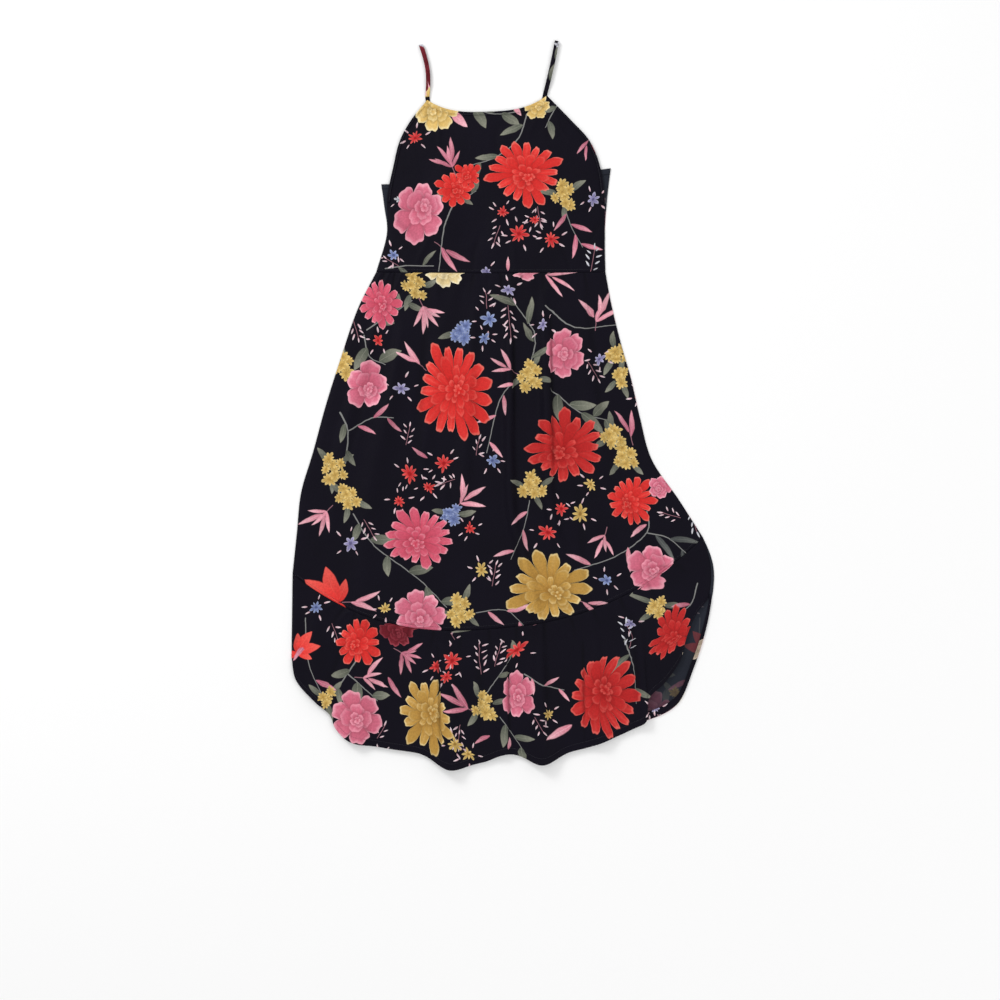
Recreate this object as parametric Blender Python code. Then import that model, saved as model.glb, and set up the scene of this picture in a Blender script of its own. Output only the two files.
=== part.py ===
"""Sundress laid flat on its back, face up, with its panels lying on each other.

+Y runs from the hem to the straps, +X to the right of someone looking down on it, and +Z is up.
Z = 0 is the surface it lies on, and the origin is the middle of the rectangle that it covers.
Every panel is a wall of cloth: a grid laid out between the lines of the garment, lifted into its
folds and extruded upwards by the thickness of the cloth.
"""

import math
from collections import namedtuple

import bmesh
import bpy

# Driving dimensions, in metres.
CLOTH = 0.0015  # one panel's wall
BAND = 0.0022  # the neckline and back bands, which are folded double
BINDING = 0.0010  # the strip that binds an armhole
GAP = 0.0003  # between pieces that are sewn together
BACK_TOP = CLOTH
FRONT_REST = BACK_TOP + 0.0004  # where the front's underside lies on the back
TURN_UP = 0.0010  # the folded hem on the inside of the back flounce
TURN_UP_WIDTH = 0.014
HEM_REST = BACK_TOP + GAP + TURN_UP + GAP  # where the front flounce lies on that turn-up
BAND_SHARE = 0.028  # the neckline band's share of the front bodice's length
BACK_BAND_SHARE = 0.055
BINDING_WIDTH = 0.006
BODICE_ROWS = 12
ARMHOLE_ROWS = 7  # how many of those rows an armhole reaches down the side
AIR = 0.0022  # between the front and the back, away from the side seams
STRAP_WIDTH = 0.0085
STRAP_THICK = 0.0016
SIDE_SWING = 0.0095
STRAP_BEND = 0.0022  # radius of the strap's centreline where it folds over at the top

# A line across the garment: how far down its panel it lies, its two ends, how far its middle
# hangs below them, and how flat the bottom of that curve is.
Line = namedtuple("Line", "down left_x left_y right_x right_y dip flat")
# A point of a hem: its place across the panel, from -1 at the left seam to 1 at the right one.
HemPoint = namedtuple("HemPoint", "across x y")
# A fold: its place across the panel at top and bottom, the shares down the panel where it starts
# and ends, its width and height, and how far it pushes the hem out.
Fold = namedtuple("Fold", "name top bottom start end width height drop")

FRONT_BODICE_LINES = (
    Line(0.00, -0.140, 0.571, 0.084, 0.579, 0.026, 3),  # neckline
    Line(0.10, -0.171, 0.532, 0.128, 0.534, 0.010, 3),  # yoke
    Line(0.23, -0.192, 0.493, 0.164, 0.494, 0.002, 2),  # chest
    Line(0.38, -0.204, 0.445, 0.184, 0.445, 0.000, 2),  # armhole
    Line(0.56, -0.215, 0.389, 0.192, 0.389, 0.000, 2),  # underarm
    Line(0.78, -0.215, 0.320, 0.193, 0.320, 0.001, 2),  # ribs
    Line(0.88, -0.223, 0.287, 0.193, 0.287, 0.001, 2),  # under the ribs
    Line(1.00, -0.236, 0.248, 0.194, 0.248, 0.002, 2),  # waist seam
)
BACK_BODICE_LINES = (
    Line(0.00, -0.2265, 0.413, 0.204, 0.443, 0.006, 2),  # top edge
    Line(0.25, -0.2210, 0.372, 0.198, 0.392, 0.003, 2),  # underarm
    Line(0.60, -0.2160, 0.320, 0.193, 0.325, 0.002, 2),  # ribs
    Line(1.00, -0.2360, 0.248, 0.194, 0.248, 0.002, 2),  # waist seam
)
SKIRT_LINES = (
    Line(0.00, -0.236, 0.248, 0.194, 0.248, 0.002, 2.0),  # waist seam
    Line(0.11, -0.271, 0.178, 0.204, 0.193, 0.006, 2.0),  # high hip
    Line(0.25, -0.302, 0.088, 0.222, 0.118, 0.014, 2.0),  # hip
    Line(0.38, -0.330, 0.000, 0.242, 0.048, 0.028, 2.1),  # thigh
    Line(0.52, -0.354, -0.088, 0.259, -0.026, 0.048, 2.2),  # above the knee
    Line(0.68, -0.377, -0.166, 0.281, -0.104, 0.074, 2.3),  # knee
    Line(0.84, -0.385, -0.242, 0.331, -0.178, 0.104, 2.4),  # below the knee
    Line(1.00, -0.393, -0.318, 0.377, -0.250, 0.136, 2.5),  # tier seam
)
FRONT_HEM = (
    HemPoint(-1.00, -0.3950, -0.474),  # left seam
    HemPoint(-0.94, -0.3860, -0.518),
    HemPoint(-0.86, -0.3500, -0.558),
    HemPoint(-0.80, -0.3230, -0.582),
    HemPoint(-0.75, -0.3120, -0.608),
    HemPoint(-0.69, -0.2890, -0.628),
    HemPoint(-0.55, -0.2280, -0.643),
    HemPoint(-0.38, -0.1500, -0.655),
    HemPoint(-0.25, -0.0950, -0.667),  # first lobe
    HemPoint(-0.13, -0.0460, -0.673),
    HemPoint(0.02, 0.0100, -0.658),
    HemPoint(0.20, 0.0810, -0.657),  # second lobe
    HemPoint(0.40, 0.1620, -0.643),
    HemPoint(0.62, 0.2560, -0.604),
    HemPoint(0.67, 0.2720, -0.590),  # where it turns up and shows the inside of the back
    HemPoint(0.71, 0.2750, -0.553),
    HemPoint(0.78, 0.3060, -0.521),
    HemPoint(0.86, 0.3350, -0.478),
    HemPoint(0.92, 0.3460, -0.436),
    HemPoint(0.96, 0.3640, -0.394),
    HemPoint(1.00, 0.3880, -0.364),  # right seam
)
BACK_HEM = (
    HemPoint(-1.00, -0.3925, -0.464),  # left seam
    HemPoint(-0.88, -0.3600, -0.524),
    HemPoint(-0.70, -0.2850, -0.580),
    HemPoint(-0.35, -0.1400, -0.628),
    HemPoint(0.00, 0.0000, -0.636),
    HemPoint(0.35, 0.1450, -0.624),
    HemPoint(0.62, 0.2560, -0.598),
    HemPoint(0.76, 0.3280, -0.564),
    HemPoint(0.86, 0.3600, -0.495),
    HemPoint(0.94, 0.3840, -0.418),
    HemPoint(1.00, 0.3960, -0.352),  # right seam
)

BODICE_FOLDS = (
    Fold("bust_left", -0.46, -0.52, 0.25, 0.92, 0.050, 0.0050, 0.0),
    Fold("bust_right", 0.44, 0.50, 0.22, 0.92, 0.055, 0.0055, 0.0),
    Fold("waist_pull", 0.10, -0.04, 0.55, 0.96, 0.030, 0.0025, 0.0),
)
SKIRT_FOLDS = (
    Fold("left_gather", -0.80, -0.90, 0.00, 0.62, 0.022, 0.0060, 0.0),
    Fold("left_drape", -0.56, -0.66, 0.04, 1.00, 0.040, 0.0075, 0.0),
    Fold("left_soft", -0.30, -0.36, 0.10, 0.86, 0.030, 0.0050, 0.0),
    Fold("centre_left", -0.06, -0.10, 0.00, 0.74, 0.024, 0.0060, 0.0),
    Fold("centre_crease", 0.20, 0.20, 0.00, 1.00, 0.018, 0.0095, 0.0),
    Fold("right_crease", 0.48, 0.38, 0.04, 0.90, 0.020, 0.0105, 0.0),
    Fold("right_drape", 0.74, 0.70, 0.22, 1.00, 0.045, 0.0080, 0.0),
)
FLOUNCE_FOLDS = (
    Fold("left_side_flute", -0.88, -0.86, 0.00, 1.00, 0.022, 0.0065, 0.0),
    Fold("left_flute", -0.60, -0.66, 0.00, 1.00, 0.026, 0.0090, 0.003),
    Fold("first_lobe", -0.24, -0.26, 0.00, 1.00, 0.034, 0.0140, 0.018),
    Fold("centre_flute", 0.02, 0.00, 0.10, 1.00, 0.020, 0.0050, -0.002),
    Fold("second_lobe", 0.19, 0.19, 0.00, 1.00, 0.034, 0.0130, 0.018),
    Fold("right_flute", 0.46, 0.46, 0.00, 1.00, 0.026, 0.0085, 0.0),
    Fold("corner_flute", 0.66, 0.66, 0.05, 1.00, 0.024, 0.0070, 0.0),
)

# A strap's two ends in plan: where it folds over at the top, and where it leaves the neckline.
# It bows a little to one side between them. The half behind runs on in line to the back band.
Strap = namedtuple("Strap", "name top_x top_y corner_x corner_y bow")
STRAPS = (
    Strap("strap_left", -0.152, 0.674, -0.1400, 0.5765, -0.0065),
    Strap("strap_right", 0.103, 0.681, 0.0815, 0.5840, -0.0010),
)

# Colours are linear RGB.
FLORAL = (0.016, 0.015, 0.022)
FLORAL_INSIDE = (0.035, 0.037, 0.046)
TRIM = (0.020, 0.016, 0.022)


def start_clean():
    for item in list(bpy.data.objects):
        bpy.data.objects.remove(item, do_unlink=True)


def cloth_material(name, colour, roughness):
    made = bpy.data.materials.new(name)
    made.use_nodes = True
    shader = made.node_tree.nodes["Principled BSDF"]
    shader.inputs["Base Color"].default_value = (*colour, 1.0)
    shader.inputs["Roughness"].default_value = roughness
    shader.inputs["Metallic"].default_value = 0.0
    return made


def through(rows, key, value, at):
    """The smooth curve through the rows' values, read at a place between the first and last key."""
    keys = [getattr(row, key) for row in rows]
    values = [getattr(row, value) for row in rows]
    last = len(keys) - 1
    slopes = []
    for i in range(len(keys)):
        low, high = max(i - 1, 0), min(i + 1, last)
        slopes.append((values[high] - values[low]) / (keys[high] - keys[low]))
    i = max(j for j in range(last) if keys[j] <= at or j == 0)
    span = keys[i + 1] - keys[i]
    t = min(max((at - keys[i]) / span, 0.0), 1.0)
    ease_in, ease_out = t * (1 - t) ** 2, t * t * (t - 1)
    share = t * t * (3 - 2 * t)
    return (
        values[i] * (1 - share)
        + values[i + 1] * share
        + span * (ease_in * slopes[i] + ease_out * slopes[i + 1])
    )


def point_on_lines(lines, across, down):
    """The plan point of a panel that is laid out by lines, across from -1 to 1 and down from 0 to 1."""
    ends = {c: through(lines, "down", c, down) for c in Line._fields if c != "down"}
    share = (across + 1) / 2
    hang = ends["dip"] * (1 - abs(across) ** ends["flat"])
    x = ends["left_x"] * (1 - share) + ends["right_x"] * share
    y = ends["left_y"] * (1 - share) + ends["right_y"] * share - hang
    return x, y


def bump(distance, width):
    """A rounded ridge: 1 on its line, and 0 from twice its half width outwards."""
    reach = min(abs(distance) / width, 1.0)
    return (0.5 + 0.5 * math.cos(math.pi * reach)) ** 1.4


def rise(down, start, end):
    """How much of its height a fold has reached: it swells from its start and fades at its end."""
    if down <= start or (down >= end and end < 1.0):
        return 0.0
    t = (down - start) / (end - start)
    fade = 1.0 if end >= 1.0 else min((1 - t) * 4, 1.0)
    return math.sin(min(t * 2.2, 1.0) * math.pi / 2) * fade


def fold_lift(folds, across, down, half_width):
    """The height that the folds add at this place of a panel."""
    total = 0.0
    for fold in folds:
        line = fold.top + (fold.bottom - fold.top) * down
        width = fold.width * (0.7 + 0.6 * down)
        total += fold.height * rise(down, fold.start, fold.end) * bump((across - line) * half_width, width)
    return total


def air(across):
    """The air between front and back: nothing at the side seams, and level in between."""
    return AIR * (1 - abs(across) ** 8)


def front_bodice(across, down):
    return point_on_lines(FRONT_BODICE_LINES, across, down)


def back_bodice(across, down):
    return point_on_lines(BACK_BODICE_LINES, across, down)


def skirt(across, down):
    return point_on_lines(SKIRT_LINES, across, down)


def hem_point(hem, folds, across):
    """A point of a hem, pushed out where a fold reaches it."""
    x = through(hem, "across", "x", across)
    y = through(hem, "across", "y", across)
    for fold in folds:
        y -= fold.drop * bump((across - fold.bottom) * 0.39, fold.width * 1.9)
    return x, y


def flounce_between(hem, folds, across, down):
    """A point between the tier seam and a hem. The right side seam swings out between its ends."""
    seam_x, seam_y = point_on_lines(SKIRT_LINES, across, 1.0)
    hem_x, hem_y = hem_point(hem, folds, across)
    swing = SIDE_SWING * max(across, 0.0) ** 6 * math.sin(math.pi * down)
    return seam_x + (hem_x - seam_x) * down + swing, seam_y + (hem_y - seam_y) * down


def front_flounce(across, down):
    return flounce_between(FRONT_HEM, FLOUNCE_FOLDS, across, down)


def back_flounce(across, down):
    return flounce_between(BACK_HEM, (), across, down)


def under_front_bodice(across, down):
    from_neckline = min(max((down - 0.04) / 0.2, 0.0), 1.0)
    return FRONT_REST + air(across) * from_neckline + fold_lift(BODICE_FOLDS, across, down, 0.20)


def waist_gathers(across, down):
    """Small ripples that start under the waist seam and soon die away."""
    return 0.0014 * math.sin(across * 41) * min(down * 25, 1.0) * math.exp(-down * 14)


def under_skirt(across, down):
    lift = waist_gathers(across, down) + fold_lift(SKIRT_FOLDS, across, down, 0.215 + 0.18 * down)
    return FRONT_REST + air(across) + lift * (1 - abs(across) ** 10)


def under_flounce(across, down):
    """It carries on from the skirt at the tier seam, then takes up its own flutes."""
    rest = FRONT_REST + (HEM_REST - FRONT_REST) * min(down * 2.5, 1.0)
    own = air(across) + fold_lift(FLOUNCE_FOLDS, across, down, 0.39) * (1 - abs(across) ** 12)
    from_above = under_skirt(across, 1.0) - FRONT_REST
    fade = (1 - down) ** 3
    return rest + from_above * fade + own * (1 - fade)


def lies_flat(_across, _down):
    return 0.0


def laid_grid(name, spot, under, wall, columns, rows, across=(-1.0, 1.0), down=(0.0, 1.0)):
    """A panel: a grid spread over its stretch of the garment, lifted, and extruded up by its wall."""
    made = bmesh.new()
    bmesh.ops.create_grid(made, x_segments=columns, y_segments=rows, size=1.0)
    for point in made.verts:
        u = across[0] + (across[1] - across[0]) * (point.co.x + 1) / 2
        v = down[0] + (down[1] - down[0]) * (1 - point.co.y) / 2
        x, y = spot(u, v)
        if point.co.y > 1 - 1e-6:
            y -= GAP
        point.co = (x, y, under(u, v))
    raised = bmesh.ops.extrude_face_region(made, geom=list(made.faces), use_keep_orig=True)
    for item in raised["geom"]:
        if isinstance(item, bmesh.types.BMVert):
            item.co.z += wall
    bmesh.ops.recalc_face_normals(made, faces=list(made.faces))
    mesh = bpy.data.meshes.new(name)
    made.to_mesh(mesh)
    made.free()
    return bpy.data.objects.new(name, mesh)


def put_in(collection, item, material):
    collection.objects.link(item)
    item.data.materials.append(material)
    return item


def armhole_binding(name, side):
    """A strip on the front bodice, on that panel's own rows from the neck band to the underarm."""
    inward = -side * BINDING_WIDTH / 0.19
    armhole_end = BAND_SHARE + ARMHOLE_ROWS * (1 - BAND_SHARE) / BODICE_ROWS

    def on_top(across, down):
        return under_front_bodice(across, down) + CLOTH + GAP + 0.0002

    stretch = (side + inward, side) if side > 0 else (side, side + inward)
    span = (BAND_SHARE, armhole_end)
    return laid_grid(name, front_bodice, on_top, BINDING, 1, ARMHOLE_ROWS, stretch, span)


def hem_turn_up(name):
    """The back flounce's hem allowance, folded up onto its inside."""
    first = 1 - TURN_UP_WIDTH / 0.24

    def spot(across, down):
        hem_x, hem_y = back_flounce(across, 0.995)
        seam_x, seam_y = back_flounce(across, 0.0)
        depth = math.hypot(hem_x - seam_x, hem_y - seam_y)
        share = min(TURN_UP_WIDTH / depth, 0.5) * (1 - (down - first) / (1 - first))
        return hem_x + (seam_x - hem_x) * share, hem_y + (seam_y - hem_y) * share

    def on_top(_across, _down):
        return BACK_TOP + GAP

    return laid_grid(name, spot, on_top, TURN_UP, 40, 1, (-0.995, 0.985), (first, 1.0))


def strap_length_behind(place):
    """How far a strap runs behind, from its fold down to the edge of the back band."""
    lean = (place.corner_x - place.top_x) / (place.top_y - place.corner_y)
    edge = BACK_BODICE_LINES[0]
    slope = (edge.right_y - edge.left_y) / (edge.right_x - edge.left_x)
    reach_y = edge.left_y
    for _ in range(4):
        x = place.top_x + lean * (place.top_y - reach_y)
        across = 2 * (x - edge.left_x) / (edge.right_x - edge.left_x) - 1
        reach_y = back_bodice(across, 0.0)[1]
    clear = GAP + STRAP_WIDTH / 2 * (abs(lean) + abs(slope) + 0.03)
    return (place.top_y - reach_y - clear) * math.hypot(lean, 1.0)


def strap(place):
    """A flat strap that lies up from the neckline, folds over, and runs back down underneath."""
    length_x, length_y = place.corner_x - place.top_x, place.corner_y - place.top_y
    front_length = math.hypot(length_x, length_y)
    back_length = strap_length_behind(place)
    low, high = STRAP_THICK / 2, STRAP_THICK / 2 + 2 * STRAP_BEND
    middle = (low + high) / 2
    rest = FRONT_REST + BAND / 2
    path = [(front_length, rest), (front_length * 0.9, rest), (front_length * 0.75, high)]
    path.append((STRAP_BEND * 3, high))
    for step in range(9):
        turn = math.pi * step / 8
        path.append((STRAP_BEND * (1 - math.sin(turn)), middle + STRAP_BEND * math.cos(turn)))
    path += [(STRAP_BEND * 3, low), (back_length * 0.5, low), (back_length, low)]

    curve = bpy.data.curves.new(place.name, "CURVE")
    curve.dimensions = "2D"
    curve.fill_mode = "NONE"
    curve.extrude = STRAP_WIDTH / 2 - STRAP_THICK / 2
    curve.bevel_depth = STRAP_THICK / 2
    curve.bevel_resolution = 1
    curve.use_fill_caps = True
    spline = curve.splines.new("POLY")
    spline.points.add(len(path) - 1)
    for point, (along, height) in zip(spline.points, path):
        point.co = (along, height, 0.0, 1.0)
    ribbon = bpy.data.objects.new(place.name + "_ribbon", curve)
    mesh = bpy.data.meshes.new_from_object(ribbon)
    bpy.data.objects.remove(ribbon)
    for point in mesh.vertices:
        point.co.z += place.bow * math.sin(math.pi * min(max(point.co.x / front_length, 0.0), 1.0))
    made = bpy.data.objects.new(place.name, mesh)
    made.location = (place.top_x, place.top_y, 0.0)
    made.rotation_euler = (math.pi / 2, 0.0, math.atan2(length_y, length_x))
    return made


def centre_on_origin(collection):
    """Moves every piece by the same amount, so the origin is the middle of the area they cover."""
    bpy.context.view_layer.update()
    corners = [
        item.matrix_world @ point.co for item in collection.objects for point in item.data.vertices
    ]
    middle_x = (min(c.x for c in corners) + max(c.x for c in corners)) / 2
    middle_y = (min(c.y for c in corners) + max(c.y for c in corners)) / 2
    for item in collection.objects:
        item.location.x -= middle_x
        item.location.y -= middle_y


def build():
    start_clean()
    dress = bpy.data.collections.new("sundress")
    bpy.context.scene.collection.children.link(dress)
    floral = cloth_material("floral", FLORAL, 0.75)
    inside = cloth_material("floral_inside", FLORAL_INSIDE, 0.85)
    trim = cloth_material("floral_trim", TRIM, 0.7)
    band = (0.0, BAND_SHARE)
    below_band = (BAND_SHARE, 1.0)
    back_band = (0.0, BACK_BAND_SHARE)
    below_back_band = (BACK_BAND_SHARE, 1.0)

    pieces = (
        (laid_grid("skirt_back", skirt, lies_flat, CLOTH, 22, 8), inside),
        (laid_grid("flounce_back", back_flounce, lies_flat, CLOTH, 40, 3), inside),
        (
            laid_grid("bodice_back", back_bodice, lies_flat, CLOTH, 14, 5, down=below_back_band),
            inside,
        ),
        (laid_grid("back_band", back_bodice, lies_flat, CLOTH, 14, 1, down=back_band), trim),
        (hem_turn_up("hem_turn_up_back"), trim),
        (
            laid_grid(
                "bodice_front",
                front_bodice,
                under_front_bodice,
                CLOTH,
                20,
                BODICE_ROWS,
                down=below_band,
            ),
            floral,
        ),
        (laid_grid("neck_band", front_bodice, under_front_bodice, BAND, 20, 1, down=band), trim),
        (laid_grid("skirt_front", skirt, under_skirt, CLOTH, 44, 16), floral),
        (laid_grid("flounce_front", front_flounce, under_flounce, CLOTH, 54, 8), floral),
        (armhole_binding("armhole_binding_left", -1), trim),
        (armhole_binding("armhole_binding_right", 1), trim),
        *((strap(place), trim) for place in STRAPS),
    )
    for item, material in pieces:
        put_in(dress, item, material)
    centre_on_origin(dress)


build()
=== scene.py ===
import math
import random
from collections import namedtuple

import bpy
import numpy as np
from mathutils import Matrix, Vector


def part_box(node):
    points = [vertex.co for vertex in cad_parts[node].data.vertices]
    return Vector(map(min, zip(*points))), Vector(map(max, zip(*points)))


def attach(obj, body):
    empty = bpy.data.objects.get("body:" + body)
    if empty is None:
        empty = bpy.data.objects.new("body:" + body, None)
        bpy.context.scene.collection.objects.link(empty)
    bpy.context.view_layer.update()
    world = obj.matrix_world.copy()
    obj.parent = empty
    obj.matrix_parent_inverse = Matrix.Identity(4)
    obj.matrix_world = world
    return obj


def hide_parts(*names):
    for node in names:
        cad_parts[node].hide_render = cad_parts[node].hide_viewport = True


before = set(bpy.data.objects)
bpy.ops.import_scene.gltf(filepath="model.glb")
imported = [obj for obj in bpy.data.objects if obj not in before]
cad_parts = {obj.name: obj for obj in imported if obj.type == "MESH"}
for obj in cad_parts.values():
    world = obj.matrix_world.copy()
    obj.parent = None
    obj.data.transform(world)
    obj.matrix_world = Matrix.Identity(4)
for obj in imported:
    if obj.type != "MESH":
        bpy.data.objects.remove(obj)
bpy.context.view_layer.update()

# ---------------------------------------------------------------------------
# The garment's own sizes, in metres, as in the solids.
# ---------------------------------------------------------------------------
CLOTH = 0.0015
SHELL = 0.0006  # the thin shell of cloth that lies at the top of each solid panel
LOWEST_TOP = SHELL + 0.0005
BAND = 0.0022
GAP = 0.0003
FRONT_REST = CLOTH + 0.0004
TURN_UP = 0.0010
TURN_UP_WIDTH = 0.014
HEM_REST = CLOTH + GAP + TURN_UP + GAP
BAND_SHARE = 0.028
BACK_BAND_SHARE = 0.055
BINDING_WIDTH = 0.006
ARMHOLE_END = BAND_SHARE + 7 * (1 - BAND_SHARE) / 12
AIR = 0.0022
STRAP_WIDTH = 0.0085
STRAP_THICK = 0.0016
SIDE_SWING = 0.0095
STRAP_BEND = 0.0022
SEAM_EDGE = 0.0013  # height of the front's top face where it turns over the side seam
TURNS_FROM_SIDE = 0.012
HALF_BODICE = 0.20  # half widths, for sizes along a panel given in metres
HALF_WAIST = 0.215
HALF_FLARE = 0.18
HALF_FLOUNCE = 0.39
HEM_STITCH = 0.952  # how far down its panel each row of stitches lies
WAIST_STITCH = 0.984
TIER_STITCH = 0.991
NECK_STITCH = 0.80 * BAND_SHARE
STITCH_PITCH = 0.0030
STITCH_LENGTH = 0.0022
STITCH_THICK = 0.00022
STITCH_RAISE = 0.00025
STITCH_SIDES = 6
STRAP_SIDES = 20
STRAP_STEP = 0.003
VIEW_WIDTH = 1.875
CM = 0.01
MM = 0.001

Line = namedtuple("Line", "down left_x left_y right_x right_y dip flat")
HemPoint = namedtuple("HemPoint", "across x y")
Fold = namedtuple("Fold", "top bottom start end width height drop")
Strap = namedtuple("Strap", "name top_x top_y corner_x corner_y bow")

FRONT_BODICE_LINES = (
    Line(0.00, -0.140, 0.571, 0.084, 0.579, 0.026, 3),
    Line(0.10, -0.171, 0.532, 0.128, 0.534, 0.010, 3),
    Line(0.23, -0.192, 0.493, 0.164, 0.494, 0.002, 2),
    Line(0.38, -0.204, 0.445, 0.184, 0.445, 0.000, 2),
    Line(0.56, -0.215, 0.389, 0.192, 0.389, 0.000, 2),
    Line(0.78, -0.215, 0.320, 0.193, 0.320, 0.001, 2),
    Line(0.88, -0.223, 0.287, 0.193, 0.287, 0.001, 2),
    Line(1.00, -0.236, 0.248, 0.194, 0.248, 0.002, 2),
)
BACK_BODICE_LINES = (
    Line(0.00, -0.2265, 0.413, 0.204, 0.443, 0.006, 2),
    Line(0.25, -0.2210, 0.372, 0.198, 0.392, 0.003, 2),
    Line(0.60, -0.2160, 0.320, 0.193, 0.325, 0.002, 2),
    Line(1.00, -0.2360, 0.248, 0.194, 0.248, 0.002, 2),
)
SKIRT_LINES = (
    Line(0.00, -0.236, 0.248, 0.194, 0.248, 0.002, 2.0),
    Line(0.11, -0.271, 0.178, 0.204, 0.193, 0.006, 2.0),
    Line(0.25, -0.302, 0.088, 0.222, 0.118, 0.014, 2.0),
    Line(0.38, -0.330, 0.000, 0.242, 0.048, 0.028, 2.1),
    Line(0.52, -0.354, -0.088, 0.259, -0.026, 0.048, 2.2),
    Line(0.68, -0.377, -0.166, 0.281, -0.104, 0.074, 2.3),
    Line(0.84, -0.385, -0.242, 0.331, -0.178, 0.104, 2.4),
    Line(1.00, -0.393, -0.318, 0.377, -0.250, 0.136, 2.5),
)
FRONT_HEM = tuple(
    HemPoint(*row)
    for row in (
        (-1.00, -0.3950, -0.474), (-0.94, -0.3860, -0.518), (-0.86, -0.3500, -0.558),
        (-0.80, -0.3230, -0.582), (-0.75, -0.3120, -0.608), (-0.69, -0.2890, -0.628),
        (-0.55, -0.2280, -0.643), (-0.38, -0.1500, -0.655), (-0.25, -0.0950, -0.667),
        (-0.13, -0.0460, -0.673), (0.02, 0.0100, -0.658), (0.20, 0.0810, -0.657),
        (0.40, 0.1620, -0.643),
        (0.62, 0.2560, -0.604), (0.67, 0.2720, -0.590), (0.71, 0.2750, -0.553),
        (0.78, 0.3060, -0.521), (0.86, 0.3350, -0.478), (0.92, 0.3460, -0.436),
        (0.96, 0.3640, -0.394), (1.00, 0.3880, -0.364),
    )
)
BACK_HEM = tuple(
    HemPoint(*row)
    for row in (
        (-1.00, -0.3925, -0.464), (-0.88, -0.3600, -0.524), (-0.70, -0.2850, -0.580),
        (-0.35, -0.1400, -0.628), (0.00, 0.0000, -0.636), (0.35, 0.1450, -0.624),
        (0.62, 0.2560, -0.598), (0.76, 0.3280, -0.564), (0.86, 0.3600, -0.495),
        (0.94, 0.3840, -0.418), (1.00, 0.3960, -0.352),
    )
)
BODICE_FOLDS = (
    Fold(-0.46, -0.52, 0.25, 0.92, 0.050, 0.0050, 0.0),
    Fold(0.44, 0.50, 0.22, 0.92, 0.055, 0.0055, 0.0),
    Fold(0.10, -0.04, 0.55, 0.96, 0.030, 0.0025, 0.0),
)
SKIRT_FOLDS = (
    Fold(-0.80, -0.90, 0.00, 0.62, 0.022, 0.0060, 0.0),
    Fold(-0.56, -0.66, 0.04, 1.00, 0.040, 0.0075, 0.0),
    Fold(-0.30, -0.36, 0.10, 0.86, 0.030, 0.0050, 0.0),
    Fold(-0.06, -0.10, 0.00, 0.74, 0.024, 0.0060, 0.0),
    Fold(0.20, 0.20, 0.00, 1.00, 0.018, 0.0095, 0.0),
    Fold(0.48, 0.38, 0.04, 0.90, 0.020, 0.0105, 0.0),
    Fold(0.74, 0.70, 0.22, 1.00, 0.045, 0.0080, 0.0),
)
FLOUNCE_FOLDS = (
    Fold(-0.88, -0.86, 0.00, 1.00, 0.022, 0.0065, 0.0),
    Fold(-0.60, -0.66, 0.00, 1.00, 0.026, 0.0090, 0.003),
    Fold(-0.24, -0.26, 0.00, 1.00, 0.034, 0.0140, 0.018),
    Fold(0.02, 0.00, 0.10, 1.00, 0.020, 0.0050, -0.002),
    Fold(0.19, 0.19, 0.00, 1.00, 0.034, 0.0130, 0.018),
    Fold(0.46, 0.46, 0.00, 1.00, 0.026, 0.0085, 0.0),
    Fold(0.66, 0.66, 0.05, 1.00, 0.024, 0.0070, 0.0),
)
STRAPS = (
    Strap("strap_left", -0.152, 0.674, -0.1400, 0.5765, -0.0065),
    Strap("strap_right", 0.103, 0.681, 0.0815, 0.5840, -0.0010),
)

# The solids were moved so that the origin is their middle: the same move, read off one of them.
_low, _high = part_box("skirt_back")
MOVE_X = _low[0] + 0.393
MOVE_Y = _high[1] - (0.248 - GAP)


def through(rows, key, value, at):
    """The smooth curve through the rows' values, read at many places at once."""
    keys = np.array([getattr(row, key) for row in rows], float)
    values = np.array([getattr(row, value) for row in rows], float)
    order = np.arange(len(keys))
    low, high = np.maximum(order - 1, 0), np.minimum(order + 1, len(keys) - 1)
    slopes = (values[high] - values[low]) / (keys[high] - keys[low])
    at = np.asarray(at, float)
    i = np.clip(np.searchsorted(keys, at, side="right") - 1, 0, len(keys) - 2)
    span = keys[i + 1] - keys[i]
    t = np.clip((at - keys[i]) / span, 0.0, 1.0)
    share = t * t * (3 - 2 * t)
    easing = t * (1 - t) ** 2 * slopes[i] + t * t * (t - 1) * slopes[i + 1]
    return values[i] * (1 - share) + values[i + 1] * share + span * easing


def point_on_lines(lines, across, down):
    ends = {c: through(lines, "down", c, down) for c in Line._fields if c != "down"}
    share = (across + 1) / 2
    hang = ends["dip"] * (1 - np.abs(across) ** ends["flat"])
    x = ends["left_x"] * (1 - share) + ends["right_x"] * share
    y = ends["left_y"] * (1 - share) + ends["right_y"] * share - hang
    return x, y


def bump(distance, width):
    reach = np.minimum(np.abs(distance) / width, 1.0)
    return (0.5 + 0.5 * np.cos(math.pi * reach)) ** 1.4


def rise(down, start, end):
    t = (down - start) / (end - start)
    fade = 1.0 if end >= 1.0 else np.clip((1 - t) * 4, 0.0, 1.0)
    return np.sin(np.clip(t * 2.2, 0.0, 1.0) * math.pi / 2) * fade


def fold_lift(folds, across, down, half_width):
    total = 0.0
    for fold in folds:
        line = fold.top + (fold.bottom - fold.top) * down
        width = fold.width * (0.7 + 0.6 * down)
        swell = rise(down, fold.start, fold.end)
        total = total + fold.height * swell * bump((across - line) * half_width, width)
    return total


def air(across):
    return AIR * (1 - np.abs(across) ** 8)


def front_bodice(across, down):
    return point_on_lines(FRONT_BODICE_LINES, across, down)


def back_bodice(across, down):
    return point_on_lines(BACK_BODICE_LINES, across, down)


def skirt(across, down):
    return point_on_lines(SKIRT_LINES, across, down)


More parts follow.
